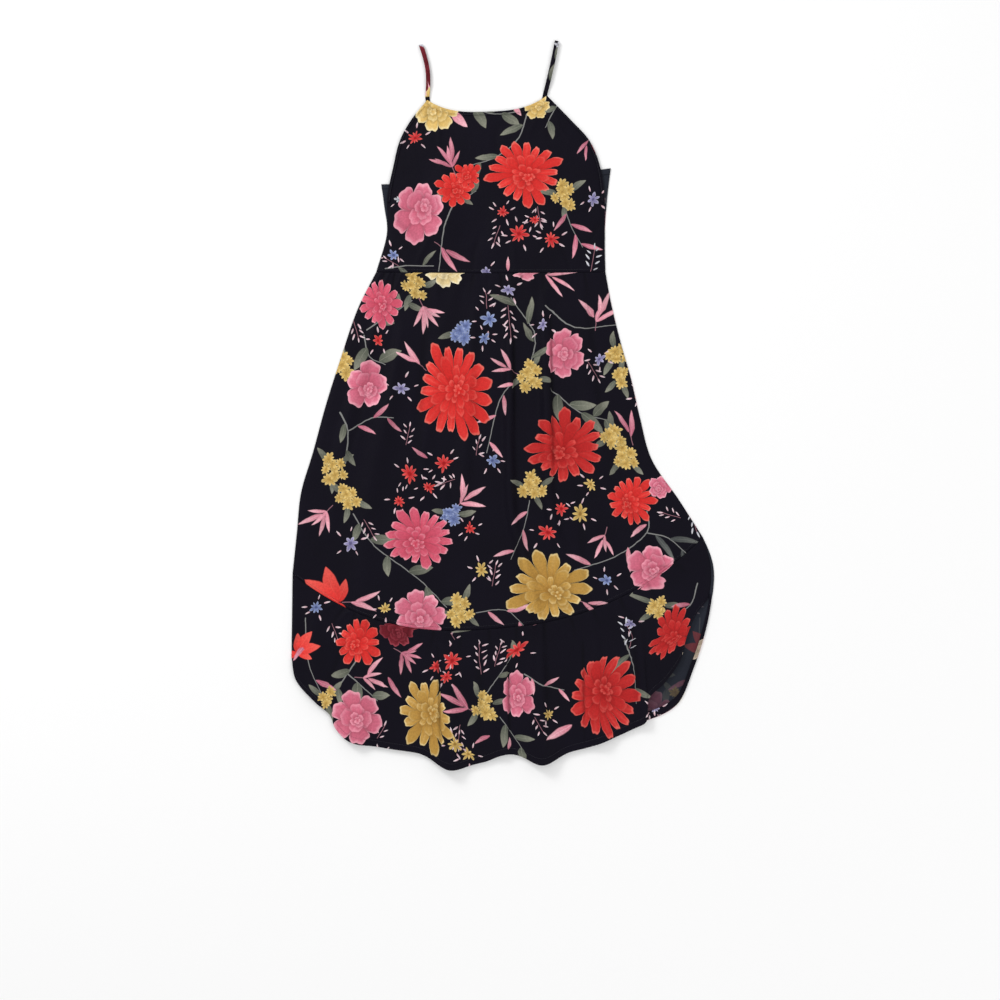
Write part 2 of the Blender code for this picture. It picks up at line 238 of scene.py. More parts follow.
def flounce_between(hem, folds, across, down):
    seam_x, seam_y = point_on_lines(SKIRT_LINES, across, np.ones_like(across))
    hem_x, hem_y = through(hem, "across", "x", across), through(hem, "across", "y", across)
    for fold in folds:
        hem_y = hem_y - fold.drop * bump((across - fold.bottom) * HALF_FLOUNCE, fold.width * 1.9)
    swing = SIDE_SWING * np.maximum(across, 0.0) ** 6 * np.sin(math.pi * down)
    return seam_x + (hem_x - seam_x) * down + swing, seam_y + (hem_y - seam_y) * down


def front_flounce(across, down):
    return flounce_between(FRONT_HEM, FLOUNCE_FOLDS, across, down)


def back_flounce(across, down):
    return flounce_between(BACK_HEM, (), across, down)


def under_front_bodice(across, down):
    from_neckline = np.clip((down - 0.04) / 0.2, 0.0, 1.0)
    lift = fold_lift(BODICE_FOLDS, across, down, HALF_BODICE)
    return FRONT_REST + air(across) * from_neckline + lift


def under_skirt(across, down):
    gathers = 0.0014 * np.sin(across * 41) * np.minimum(down * 25, 1.0) * np.exp(-down * 14)
    lift = gathers + fold_lift(SKIRT_FOLDS, across, down, HALF_WAIST + HALF_FLARE * down)
    return FRONT_REST + air(across) + lift * (1 - np.abs(across) ** 10)


def under_flounce(across, down):
    rest = FRONT_REST + (HEM_REST - FRONT_REST) * np.minimum(down * 2.5, 1.0)
    lift = fold_lift(FLOUNCE_FOLDS, across, down, HALF_FLOUNCE)
    own = air(across) + lift * (1 - np.abs(across) ** 12)
    from_above = under_skirt(across, np.ones_like(down)) - FRONT_REST
    fade = (1 - down) ** 3
    return rest + from_above * fade + own * (1 - fade)


# ---------------------------------------------------------------------------
# Creases, listed one by one. x and y in centimetres from the origin, width, height and the cloth that
# the crease takes up in millimetres. lap: 1 or -1 where the fold lies over to that side.
# ---------------------------------------------------------------------------
Crease = namedtuple("Crease", "x1 y1 x2 y2 width height takes lap")

BODICE_CREASES = tuple(
    Crease(*row)
    for row in (
        # out of the left strap joint
        (-13.6, 56.5, -15.0, 49.5, 7, -1.3, 1, 0),
        (-12.6, 56.0, -11.6, 48.0, 7, 1.4, 2, 0),
        (-12.0, 55.5, -8.6, 50.5, 6, -1.0, 1, 0),
        (-14.5, 55.0, -17.2, 48.5, 6, 1.0, 1, 0),
        # out of the right strap joint
        (7.6, 57.0, 8.8, 49.0, 7, -1.2, 1, 0),
        (6.8, 56.2, 4.8, 49.6, 7, 1.2, 2, 0),
        (8.6, 56.4, 12.6, 48.8, 6, 1.1, 1, 0),
        (6.0, 56.0, 1.5, 52.2, 6, -0.8, 1, 0),
        # under the arms and towards the waist
        (-20.6, 39.5, -14.0, 35.0, 11, 1.6, 2, 0),
        (-21.0, 36.0, -15.5, 30.5, 12, -1.4, 0, 0),
        (18.4, 39.0, 12.5, 35.5, 11, 1.5, 2, 0),
        (18.8, 34.5, 14.8, 29.0, 12, -1.3, 0, 0),
        (-16.5, 25.0, -13.0, 34.0, 9, 1.2, 2, 0),
        (-6.0, 25.0, -4.4, 32.5, 9, -1.0, 1, 0),
        (2.8, 25.0, 1.0, 33.5, 9, 1.1, 1, 0),
        (12.4, 25.0, 10.2, 33.0, 9, -1.2, 1, 0),
        (-1.0, 53.0, -1.6, 44.0, 16, -0.8, 0, 0),
    )
)
SKIRT_CREASES = tuple(
    Crease(*row)
    for row in (
        # the two long folds that cut the print
        (8.8, 17.5, 9.3, -15.5, 15, 3.2, 13, 1),
        (1.9, 13.5, 2.0, -4.5, 13, 2.6, 8, 1),
        # long soft ones
        (2.2, -5.0, 3.2, -37.0, 16, -1.8, 2, 0),
        (9.3, -14.0, 10.8, -31.0, 14, 1.8, 2, 0),
        (-18.3, 22.0, -22.3, -7.5, 17, 2.2, 3, 0),
        (-13.6, 23.5, -17.3, -22.5, 19, -2.0, 2, 0),
        (-6.2, 23.0, -6.6, -37.0, 20, 1.4, 2, 0),
        (15.4, 22.0, 20.4, -15.0, 15, -2.0, 2, 0),
        (18.3, -3.5, 26.0, -29.5, 18, 2.4, 3, 0),
        (-28.8, -3.0, -32.6, -26.0, 16, 1.8, 2, 0),
        (-24.6, 8.0, -29.5, -13.0, 12, -1.3, 1, 0),
        (-10.5, -12.0, -12.2, -39.5, 15, 1.5, 2, 0),
        (14.0, -16.0, 15.8, -38.0, 15, -1.6, 1, 0),
        (22.4, -17.0, 31.0, -31.5, 13, -1.5, 1, 0),
    )
)
FLOUNCE_CREASES = tuple(
    Crease(*row)
    for row in (
        (-12.0, -45.0, -11.4, -66.0, 14, 3.0, 14, -1),
        (0.8, -45.5, 1.1, -66.5, 12, 2.4, 8, 1),
        (15.2, -44.0, 15.5, -63.5, 12, 2.4, 9, -1),
        (24.2, -39.0, 25.2, -57.0, 13, -2.2, 4, 0),
        (28.6, -36.0, 30.0, -54.0, 11, 1.8, 3, 0),
        (-29.6, -44.0, -33.6, -55.0, 12, -2.0, 3, 0),
        (-21.9, -45.0, -22.8, -61.5, 13, 2.2, 4, 0),
        (-35.4, -38.0, -37.0, -50.0, 10, 1.2, 1, 0),
        (-4.6, -46.0, -4.2, -65.5, 16, -1.8, 3, 0),
        (8.2, -46.0, 8.4, -64.5, 16, -1.8, 3, 0),
    )
)
# Gathers run down from a seam: place in centimetres, length in centimetres, width, height and
# take-up in millimetres.
Gather = namedtuple("Gather", "x length width height takes")
WAIST_SEAM_Y = 0.2492
WAIST_GATHERS = tuple(
    Gather(*row)
    for row in (
        (-22.9, 5.5, 4.5, 2.2, 3), (-22.0, 7.0, 4.0, -1.8, 1), (-21.0, 4.0, 4.5, 2.3, 3),
        (-20.0, 8.5, 4.0, -1.9, 1), (-19.0, 5.0, 4.5, 2.0, 3), (-17.9, 6.5, 4.5, -1.6, 1),
        (-16.8, 4.5, 4.5, 1.8, 2), (-15.4, 7.5, 5.0, -1.2, 0), (-13.2, 4.0, 5.0, 1.3, 1),
        (-11.0, 5.5, 6.0, -1.0, 0), (-8.4, 3.5, 5.5, 1.0, 1), (-5.6, 5.0, 6.0, -0.9, 0),
        (-3.1, 3.5, 5.0, 1.0, 1), (-0.4, 4.5, 5.0, -1.0, 0), (1.4, 3.5, 4.0, 1.3, 1),
        (3.6, 5.5, 5.0, -1.1, 0), (5.4, 3.5, 4.5, 1.3, 1), (7.4, 6.0, 5.0, -1.2, 0),
        (9.2, 4.0, 4.5, 1.5, 2), (11.3, 5.5, 5.0, -1.2, 0), (13.2, 4.0, 4.5, 1.4, 1),
        (15.3, 6.5, 5.0, -1.3, 0), (17.0, 4.0, 4.5, 1.5, 1),
    )
)
TIER_GATHERS = tuple(
    Gather(*row)
    for row in (
        (-36.4, 3.5, 5.0, 1.2, 1), (-33.6, 5.0, 5.5, -1.3, 0), (-31.4, 4.0, 4.5, 1.8, 2),
        (-29.8, 6.5, 4.0, -1.9, 1), (-28.6, 5.0, 4.0, 2.3, 3), (-27.4, 8.0, 3.8, -2.2, 1),
        (-26.3, 5.5, 4.0, 2.4, 3), (-25.1, 7.0, 3.8, -2.0, 1), (-23.9, 5.0, 4.2, 2.1, 2),
        (-22.3, 6.0, 4.5, -1.6, 0), (-20.2, 4.0, 5.0, 1.5, 1), (-17.6, 6.0, 5.0, -1.4, 0),
        (-15.3, 4.5, 5.0, 1.6, 1), (-12.9, 5.5, 5.0, -1.5, 0), (-10.4, 4.0, 5.0, 1.4, 1),
        (-7.7, 5.5, 5.5, -1.2, 0), (-5.2, 3.5, 5.0, 1.3, 1), (-2.3, 6.0, 5.0, -1.5, 0),
        (-0.4, 4.0, 4.5, 1.6, 1), (2.6, 5.0, 5.0, -1.4, 0), (5.0, 4.0, 5.0, 1.5, 1),
        (7.6, 5.5, 5.0, -1.5, 0), (10.2, 4.5, 5.0, 1.5, 1), (12.6, 5.5, 4.5, -1.6, 0),
        (14.3, 4.0, 4.5, 1.8, 2), (17.0, 5.0, 5.0, -1.4, 0), (19.6, 4.0, 5.0, 1.5, 1),
        (22.0, 6.0, 5.0, -1.6, 0), (24.5, 4.5, 5.0, 1.6, 1), (26.9, 5.5, 5.0, -1.6, 0),
        (29.3, 4.0, 5.0, 1.5, 1), (32.0, 5.0, 5.0, -1.2, 0), (34.6, 3.5, 5.0, 1.0, 1),
    )
)


def along_line(x, y, crease):
    """How far each point lies along the crease, 0 to 1, and to its left or right, in metres."""
    x1, y1 = crease.x1 * CM, crease.y1 * CM
    run_x, run_y = crease.x2 * CM - x1, crease.y2 * CM - y1
    length = math.hypot(run_x, run_y)
    t = ((x - x1) * run_x + (y - y1) * run_y) / length**2
    aside = ((x - x1) * -run_y + (y - y1) * run_x) / length
    return t, aside


def crease_fade(t):
    """A crease swells from nothing at its start and dies away at its end."""
    inside = np.clip(t, 0.0, 1.0)
    return np.sin(np.pi * inside**0.75) ** 0.6 * ((t > 0) & (t < 1))


def step(values, soft):
    share = np.clip(values / soft + 0.5, 0.0, 1.0)
    return share * share * (3 - 2 * share)


def creases_at(creases, x, y):
    """(height, painted shade, cloth taken up) that these creases give each point."""
    height, shade, taken = np.zeros_like(x), np.zeros_like(x), np.zeros_like(x)
    for crease in creases:
        t, aside = along_line(x, y, crease)
        fade = crease_fade(t)
        width, tall = crease.width * MM, crease.height * MM
        if crease.lap:
            over = aside * crease.lap
            lapped = np.clip(1 + over / (2.2 * width), 0, 1) ** 2 * step(-over, 0.0025)
            height += tall * fade * lapped
            shade += 0.85 * fade * bump(over - 0.0022, 0.0048)
        else:
            # The line wanders a little, as a crease in soft cloth does.
            wander = 0.0016 * np.sin(t * 9 + crease.x1)
            ridge = bump(aside + wander, width)
            height += tall * fade * ridge
            if tall < 0:
                shade += min(-tall * 190, 0.5) * fade * ridge**2
        if crease.takes:
            taken += crease.takes * MM * fade * step(aside, 0.003)
    return height, shade, taken


def gathers_at(gathers, x, below_seam):
    """The same for gathers, by how far each point lies below their seam."""
    height, shade, taken = np.zeros_like(x), np.zeros_like(x), np.zeros_like(x)
    for gather in gathers:
        t = below_seam / (gather.length * CM)
        fade = np.clip(1 - t, 0, 1) ** 1.2 * np.clip(below_seam / 0.004, 0, 1)
        lean = gather.x * CM * (1 + 0.10 * np.clip(t, 0, 1)) + 0.0015 * np.sin(t * 5 + gather.x)
        ridge = bump(x - lean, gather.width * MM * (1 + 0.8 * np.clip(t, 0, 1)))
        height += gather.height * MM * fade * ridge
        if gather.height < 0:
            shade += 0.62 * fade * ridge
        if gather.takes:
            taken += gather.takes * MM * fade * step(x - lean, 0.003)
    return height, shade, taken


def drape(section, x, y):
    """Height, painted shade and take-up of everything that was pressed or gathered into one section.
    """
    if section == "bodice":
        return creases_at(BODICE_CREASES, x, y)
    if section == "skirt":
        seam_y = WAIST_SEAM_Y - 0.002 * (1 - ((x + 0.022) / HALF_WAIST) ** 2)
        parts = creases_at(SKIRT_CREASES, x, y), gathers_at(WAIST_GATHERS, x, seam_y - y)
    elif section == "flounce":
        tier = SKIRT_LINES[-1]
        share = np.clip((x - MOVE_X - tier.left_x) / (tier.right_x - tier.left_x), 0, 1)
        dip = tier.dip * (1 - np.abs(2 * share - 1) ** tier.flat)
        seam_y = MOVE_Y + tier.left_y + (tier.right_y - tier.left_y) * share - dip
        parts = creases_at(FLOUNCE_CREASES, x, y), gathers_at(TIER_GATHERS, x, seam_y - y)
    else:
        return np.zeros_like(x), np.zeros_like(x), np.zeros_like(x)
    return tuple(first + second for first, second in zip(*parts))


# ---------------------------------------------------------------------------
# The print. Every motif is one entry that the cloth's material draws: a bloom, a floret, a leaf
# or a piece of stem. Places and sizes are in centimetres on the cloth, turns in degrees.
# ---------------------------------------------------------------------------
def linear(red, green, blue):
    def one(value):
        value /= 255
        return value / 12.92 if value <= 0.04045 else ((value + 0.055) / 1.055) ** 2.4

    return one(red), one(green), one(blue)


Paint = namedtuple("Paint", "body edge")


def paint(body, edge=None):
    """A motif's own colour and the colour of its edge."""
    return Paint(linear(*body), linear(*(edge or body)))


RED = paint((218, 50, 47), (246, 134, 120))
# BRICK, the deeper red of blooms low on the dress, is partly their own colour and partly painted
# shade for the dimmer light towards the hem.
BRICK = paint((192, 42, 42), (234, 112, 102))
WINE = paint((112, 28, 40), (160, 70, 82))
GOLD = paint((190, 148, 72), (242, 222, 166))
CREAM = paint((222, 188, 112), (246, 232, 184))
IVORY = paint((226, 204, 150), (248, 240, 212))
PINK = paint((210, 110, 134), (246, 180, 194))
HOT_PINK = paint((212, 88, 112), (248, 178, 190))
PALE_PINK = paint((206, 122, 140), (238, 184, 194))
ROSE_LEAF = paint((174, 86, 110), (226, 156, 170))
GREY_LEAF = paint((84, 88, 78), (136, 136, 122))
DARK_LEAF = paint((62, 66, 68), (112, 114, 110))
STEM = paint((124, 124, 122))
ROSE_STEM = paint((138, 96, 106))
BLUE = paint((110, 124, 172), (176, 188, 220))
LILAC = paint((136, 130, 172), (208, 202, 224))
YELLOW = paint((204, 168, 92), (234, 210, 144))
STAR_RED = paint((208, 46, 50), (240, 120, 112))
BUD = paint((206, 164, 174), (236, 222, 226))
WHITE_BUD = paint((182, 182, 192), (226, 226, 228))
STONE = paint((166, 150, 132), (190, 176, 160))
LILY_RED = Paint(RED.body, linear(230, 92, 82))
DAHLIA_SPREAD, PEONY_SPREAD = 1.14, 1.06  # how far the outer petals reach past the size

Bloom = namedtuple("Bloom", "x y size turn petals ragged ruffle cut squash paint seed")
Floret = namedtuple("Floret", "x y size turn petals ragged point paint seed")
Leaf = namedtuple("Leaf", "x y length turn wide bend paint seed")
Twig = namedtuple("Twig", "x1 y1 x2 y2 width paint")
Knot = namedtuple("Knot", "at x y")


def from_here(x, y, far, turn):
    """The place at this distance and direction."""
    lean = math.radians(turn)
    return x + far * math.cos(lean), y + far * math.sin(lean)


class Print:
    """Collects the motifs of one part of the cloth."""

    def __init__(self, seed):
        self.chance = random.Random(seed)
        self.blooms, self.florets, self.leaves, self.twigs = [], [], [], []

    def seed(self):
        return self.chance.random()

    def dahlia(self, x, y, size, paint=RED, petals=15, squash=1.0, turn=0):
        look = (turn, petals, 0.30, 0.014, 0.52, squash, paint, self.seed())
        self.blooms.append(Bloom(x, y, size * DAHLIA_SPREAD, *look))

    def peony(self, x, y, size, paint=PINK, petals=6, squash=1.0, turn=0):
        look = (turn, petals, 0.18, 0.030, 0.34, squash, paint, self.seed())
        self.blooms.append(Bloom(x, y, size * PEONY_SPREAD, *look))

    def lily(self, x, y, turn, size=7.5):
        """Long petals that open to one side of a short throat."""
        for away, share in ((-62, 0.62), (-24, 0.94), (14, 1.0), (48, 0.74), (158, 0.70)):
            self.leaf(x, y, size * share, turn + away, LILY_RED, 0.34)

    def star(self, x, y, size=1.8, paint=STAR_RED, petals=9, buds=5):
        """A small ragged flower with loose buds that point away from it."""
        turn = self.chance.uniform(0, 360)
        self.florets.append(Floret(x, y, size, turn, petals, 0.42, 0.85, paint, self.seed()))
        for i in range(buds):
            way = turn + 360 * i / buds + self.chance.uniform(-20, 20)
            self.bud(*from_here(x, y, size * self.chance.uniform(0.9, 1.3), way), way)

    def bud(self, x, y, turn, paint=BUD):
        turn += self.chance.uniform(-18, 18)
        long = self.chance.uniform(0.9, 1.35)
        self.leaves.append(Leaf(x, y, long, turn, 0.22, 0.0, paint, self.seed()))

    def sprig(self, x, y, turn, reach=3.6, paint=BUD):
        """Loose buds on both sides of a thin stalk, and one at its end."""
        count = round(reach * 1.7)
        for i in range(count):
            side = 1 if i % 2 else -1
            foot = from_here(x, y, reach * (i + 0.5) / count, turn)
            spot = from_here(*foot, self.chance.uniform(0.2, 0.6), turn + 90 * side)
            self.bud(*spot, turn + side * self.chance.uniform(30, 60), paint)
        end = from_here(x, y, reach, turn)
        self.bud(*end, turn, paint)
        self.stem([(x, y), end], 0.08, ROSE_STEM)

    def cluster(self, x, y, reach=2.4, paint=YELLOW, leaves=3):
        """Ragged flowers crowded together, with leaves that stick out from under them."""
        count = round(reach * 3)
        for i in range(count):
            way = 137 * i + self.chance.uniform(-20, 20)
            spot = from_here(x, y, reach * math.sqrt(i / count) * 0.95, way)
            size, turn = self.chance.uniform(1.2, 1.7), self.chance.uniform(0, 360)
            self.florets.append(Floret(*spot, size, turn, 9, 0.36, 0.50, paint, self.seed()))
        first = self.chance.uniform(0, 360)
        for i in range(leaves):
            way = first + 360 * i / leaves + self.chance.uniform(-25, 25)
            spot = from_here(x, y, reach * 0.7, way)
            self.leaf(*spot, self.chance.uniform(2.8, 3.6), way + self.chance.uniform(-20, 20))

    def leaf(self, x, y, length=4.2, turn=0, paint=GREY_LEAF, wide=0.28):
        bend = self.chance.uniform(-0.06, 0.06)
        self.leaves.append(Leaf(x, y, length, turn, wide, bend, paint, self.seed()))

    def fan(self, x, y, turn, leaves=5, length=4.6, paint=ROSE_LEAF, wide=0.16):
        """Long narrow leaves that spread from one short stalk."""
        for i in range(leaves):
            away = (i - (leaves - 1) / 2) * min(34, 130 / leaves) + self.chance.uniform(-6, 6)
            foot = from_here(x, y, 0.9 * (i % 2), turn + away * 0.5)
            long = length * self.chance.uniform(0.75, 1.1)
            self.leaf(*foot, long, turn + away, paint, wide)
        self.stem([from_here(x, y, 1.6, turn + 180), from_here(x, y, 0.8, turn)], 0.10, ROSE_STEM)

    def stem(self, points, width=0.14, paint=STEM):
        """A stem through these points, rounded off between them."""
        knots = np.array(points, float)
        if len(knots) > 2:
            at = np.linspace(0, len(knots) - 1, 4 * (len(knots) - 1) + 1)
            rows = [Knot(i, *knot) for i, knot in enumerate(knots)]
            knots = np.stack([through(rows, "at", "x", at), through(rows, "at", "y", at)], 1)
        for i, (start, end) in enumerate(zip(knots[:-1], knots[1:])):
            slim = width * (1 - 0.35 * i / len(knots))
            self.twigs.append(Twig(*start, *end, slim, paint))

    def branch(self, points, leaves=3, length=4.4, paint=GREY_LEAF, wide=0.28, width=0.14):
        """A stem with leaves on its two sides in turn."""
        self.stem(points, width)
        for i in range(leaves):
            at = (i + 0.6) / leaves * (len(points) - 1)
            k = min(int(at), len(points) - 2)
            (x1, y1), (x2, y2) = points[k], points[k + 1]
            way = math.degrees(math.atan2(y2 - y1, x2 - x1))
            away = (1 if i % 2 else -1) * self.chance.uniform(32, 58)
            x, y = x1 + (x2 - x1) * (at - k), y1 + (y2 - y1) * (at - k)
            self.leaf(x, y, length * self.chance.uniform(0.85, 1.15), way + away, paint, wide)

    def is_free(self, x, y, reach):
        """Whether nothing has been drawn this near to the place."""
        taken = [(m.x, m.y, m.size * 0.92) for m in self.blooms + self.florets]
        taken += [
            (*from_here(leaf.x, leaf.y, leaf.length / 2, leaf.turn), leaf.length * 0.34)
            for leaf in self.leaves
        ]
        return all(math.hypot(x - mx, y - my) > reach + size for mx, my, size in taken)

    def fill(self, left, low, right, high, tries):
        """Draws small motifs in turn wherever the ground has room for them."""
        turn_of = 0
        for _ in range(tries):
            x, y = self.chance.uniform(left, right), self.chance.uniform(low, high)
            turn = self.chance.uniform(0, 360)
            kind = turn_of % 6
            reach = (2.2, 1.5, 2.3, 1.7, 1.6, 1.3)[kind]
            if not self.is_free(x, y, reach):
                continue
            turn_of += 1
            if kind == 0:
                self.fan(*from_here(x, y, 2.0, turn + 180), turn, 4, 4.2, PALE_PINK)
            elif kind == 1:
                self.star(x, y, 1.5, (BLUE, LILAC, STAR_RED)[turn_of // 6 % 3], 6)
            elif kind == 2:
                start, end = from_here(x, y, 2.4, turn + 180), from_here(x, y, 2.0, turn)
                self.branch([start, (x, y), end], 3, 3.8)
            elif kind == 3:
                self.sprig(*from_here(x, y, 1.6, turn + 180), turn, 3.4, BUD)
            elif kind == 4:
                self.star(x, y, 1.4, (STAR_RED, YELLOW)[turn_of // 6 % 2], 8, 6)
            else:
                self.leaf(*from_here(x, y, 1.8, turn + 180), 3.8, turn, ROSE_LEAF, 0.17)


def bodice_print():
    p = Print(11)
    p.dahlia(4, 43.5, 7.2, RED, 17, 1.15)
    p.dahlia(-6.5, 43, 2.6, RED, 10)
    p.dahlia(-9, 40.5, 3.5, RED, 11)
    p.peony(-15.5, 36, 5.9, PINK, 6, 1.25, 80)
    p.peony(-12.5, 55.5, 4.6, CREAM, 7)
    p.peony(6.5, 56, 2.5, CREAM)
    p.cluster(11.5, 39)
    for x, y, size in ((0, 36, 1.4), (3, 32, 2.1), (6, 34.5, 1.2), (9, 31, 1.8), (-16.5, 50, 1.6)):
        p.star(x, y, size, STAR_RED, 9, 6)
    p.star(17, 38.5, 1.5, LILAC, 6)
    p.star(-20.5, 28, 1.5, BLUE, 6)
    p.star(-3, 25, 1.2, LILAC, 5, 2)
    p.branch([(4.5, 54.5), (3, 50), (-1, 46.5), (-5.5, 45)], 4, 4.6, wide=0.22)
    p.branch([(-9.5, 37), (-11, 33), (-12, 25)], 0, width=0.16)
    p.branch([(11.5, 37), (13, 33), (15, 29.5)], 4, 4.2, ROSE_LEAF, 0.16, 0.11)
    p.branch([(-12.5, 41.5), (-9, 38), (-5, 40)], 4, 2.9)
    p.branch([(-7, 56), (-1.5, 54.5), (3, 55)], 4, 4.0, wide=0.34)
    p.branch([(11, 57), (9.5, 55), (8, 52)], 2, 3.2, wide=0.30)
    p.branch([(-22, 25.5), (-18, 26), (-13, 26)], 2, 4.6, wide=0.18)
    p.leaf(-9.5, 55, 4.2, -45, PALE_PINK, 0.32)
    p.leaf(2, 56, 2.4, -50, PALE_PINK, 0.32)
    p.fan(-9.5, 44.5, 115, 6)
    p.fan(-11.5, 29.5, -38, 2, 5.8)
    p.fan(16, 49.5, 245, 2, 3.8)
    p.leaf(16.5, 49.5, 5, -64, WINE, 0.14)
    p.sprig(-0.5, 33.5, 250, 3.4)
    p.sprig(6.5, 37, -80, 3.2)
    p.sprig(16.5, 25, 80, 4.2, WHITE_BUD)
    p.sprig(-19.5, 26, 150, 2.6)
    p.leaf(1, 25, 2.8, 90, PALE_PINK, 0.2)
    # what shows on the straps and the bindings
    p.dahlia(-15.4, 62.6, 4.4, WINE, 8)
    p.leaf(-14.0, 57.2, 3.8, 100, PALE_PINK, 0.22)
    p.peony(-14.6, 67.2, 1.3, WHITE_BUD, 5)
    p.leaf(9.0, 60.6, 3.4, 80, GREY_LEAF, 0.3)
    p.leaf(9.9, 64.4, 3.8, 75, GREY_LEAF, 0.26)
    p.star(10.3, 67.4, 0.9, WHITE_BUD, 5, 2)
    p.leaf(8.5, 58.2, 2.2, 60, WINE, 0.24)
    p.star(-19.6, 38.4, 0.9, WHITE_BUD, 5, 1)
    return p


def skirt_print():
    p = Print(23)
    p.dahlia(-9.5, 2.5, 9.2, RED, 17, 1.28, 96)
    p.dahlia(11.5, -8, 8.3, BRICK, 16, 1.22, 20)
    p.dahlia(-15.5, -25, 6.9, HOT_PINK, 16, 1.2, 12)
    p.dahlia(8.5, -34.5, 7.9, GOLD, 14, 1.15)
    p.dahlia(-23, 19, 4.0, HOT_PINK, 13, 0.85)
    p.dahlia(24, -18, 4.8, RED, 15)
    p.peony(-25.5, 3.5, 4.7, PINK, 5, 1.1, 80)
    p.peony(11, 9.5, 4.8, PINK, 6, 1.1, 100)
    p.peony(-15.5, -39.5, 5.0, PINK, 7)
    p.peony(-9.5, 26, 4.2, IVORY, 7)
    p.peony(5.5, 26, 3.1, PALE_PINK, 5)
    p.peony(29.5, -15.5, 2.4, PINK, 5)
    p.lily(-31, -37, 132)
    for x, y, reach in (
        (-16.5, 22, 2.3), (-29.5, 7, 2.2), (5, 5.5, 2.5), (21.5, 9.5, 1.9), (22, 5, 1.5),
        (-31.5, -12, 2.5), (-29, -17.5, 2.2), (5.5, -15.5, 2.4), (20.5, -6, 1.9),
        (23, -10, 2.2), (-8, -38.5, 2.6),
    ):
        p.cluster(x, y, reach)
    p.cluster(-7.5, 13.5, 1.8, BLUE, 1)
    p.cluster(-9.5, -20.5, 1.7, BLUE, 2)
    for x, y, size in ((-17.5, -13, 2.2), (-11, -11, 2), (-14, -15.5, 1.5), (-19.5, -18, 1.5)):
        p.star(x, y, size, STAR_RED, 9, 6)
    for x, y, size, paint in (
        (-2.5, 16, 2.1, BLUE), (-3.5, 12.5, 1.4, BLUE), (1, 21.5, 1.6, LILAC),
        (18, 8.5, 1.5, LILAC), (-19, 3, 1.9, LILAC), (-2, -10.5, 1.6, BLUE),
        (-28.5, -26, 1.8, LILAC), (19.5, -33, 1.6, BLUE), (-35, -38, 1.5, BLUE),
        (8.5, -24, 2.2, STAR_RED), (11, -19.5, 1.7, STAR_RED), (34, -32.5, 1.9, STAR_RED),
        (14.5, -20.5, 2.1, YELLOW), (16.5, -15, 1.5, YELLOW), (-4, -31, 1.6, YELLOW),
    ):
        p.star(x, y, size, paint, 8 if paint in (STAR_RED, YELLOW) else 6)
    # grey stems with their leaves
    p.branch([(-25.5, 14), (-20, 17.5), (-17, 19.5)], 3, 3.6)
    p.branch([(8, 18.5), (13.5, 14.5), (21.5, 15)], 0)
    p.branch([(5, 7), (6, 13), (1.5, 20)], 4, 5.2, wide=0.20)
    p.branch([(9, 3), (14.5, -1.5), (20, -3)], 5, 5.0, wide=0.30)
    p.branch([(3, 5), (-0.5, 1), (-3, -9)], 4, 4.0, PALE_PINK, 0.17)
    p.branch([(-30.5, -1.5), (-29, -5), (-29.5, -11)], 2, 3.4, width=0.18)
    p.branch([(-29, -5), (-24.5, -2.5), (-20.5, -2.5)], 3, 3.6, ROSE_LEAF, 0.18)
    p.branch([(-28, -20.5), (-24, -26.5), (-16, -32.5), (-10.5, -38)], 6, 4.3, wide=0.32)
    p.branch([(5, -18), (4, -23), (1.5, -29)], 3, 4.2, PALE_PINK, 0.16, 0.11)
    p.branch([(27, -20), (27, -24), (21, -28.5), (13.5, -31)], 3, 4.6, PALE_PINK, 0.17)
    p.branch([(27, -24), (31, -25), (34.5, -28)], 3, 5.4, DARK_LEAF, 0.16)
    p.branch([(-26, 13), (-25, 9), (-22, 7.5)], 2, 4.6, wide=0.34)
    p.branch([(-5, -39), (0.5, -38.5), (4, -41.5)], 3, 4.6, PALE_PINK, 0.18, 0.11)
    # fans of narrow leaves
    for x, y, turn, leaves, paint in (
        (-15, 18.5, -62, 6, PALE_PINK), (17.5, 15.5, 85, 4, PALE_PINK),
        (8.5, 24.5, -34, 3, PALE_PINK), (1.5, 6.5, 150, 3, PALE_PINK),
        (-15.5, 7.5, 138, 2, PALE_PINK), (-33, -20, 225, 5, PALE_PINK),
        (-8, -18.5, 48, 4, PALE_PINK), (24, -6, 105, 2, ROSE_LEAF),
        (-28.5, -37, 0, 2, PALE_PINK), (15, -37, -18, 2, PALE_PINK),
    ):
        p.fan(x, y, turn, leaves, 4.8, paint)
    for x, y, turn, reach, paint in (
        (1, 18.5, -85, 6, BUD), (-3, 18, 95, 3, BUD), (-5, -9.5, 80, 3, BUD),
        (-26, -21.5, -60, 3.6, BUD), (-2, -34, 80, 4, BUD), (16, 8, -60, 3.6, BUD),
        (35.5, -20.5, -75, 3.4, WHITE_BUD), (37, -33.5, -95, 4, BUD), (-9, -14, 200, 3, BUD),
    ):
        p.sprig(x, y, turn, reach, paint)
    tier_crossing(p)
    p.fill(-34, -40, 33, 23, 260)
    return p


def tier_crossing(p):
    """Motifs that lie across the tier seam and run on below it."""
    p.peony(28, -30.5, 4.9, PINK, 5, 1.1, 12)
    p.dahlia(32, -43, 4.9, BRICK, 13, 1.4, 90)
    p.cluster(29, -38, 1.7)
    p.star(24, -41, 1.3, LILAC, 5, 3)
    p.sprig(23.5, -46, 95, 5, WHITE_BUD)
    p.branch([(36.5, -33.5), (35.5, -37), (33.5, -39)], 1, 3.2, ROSE_LEAF, 0.2)


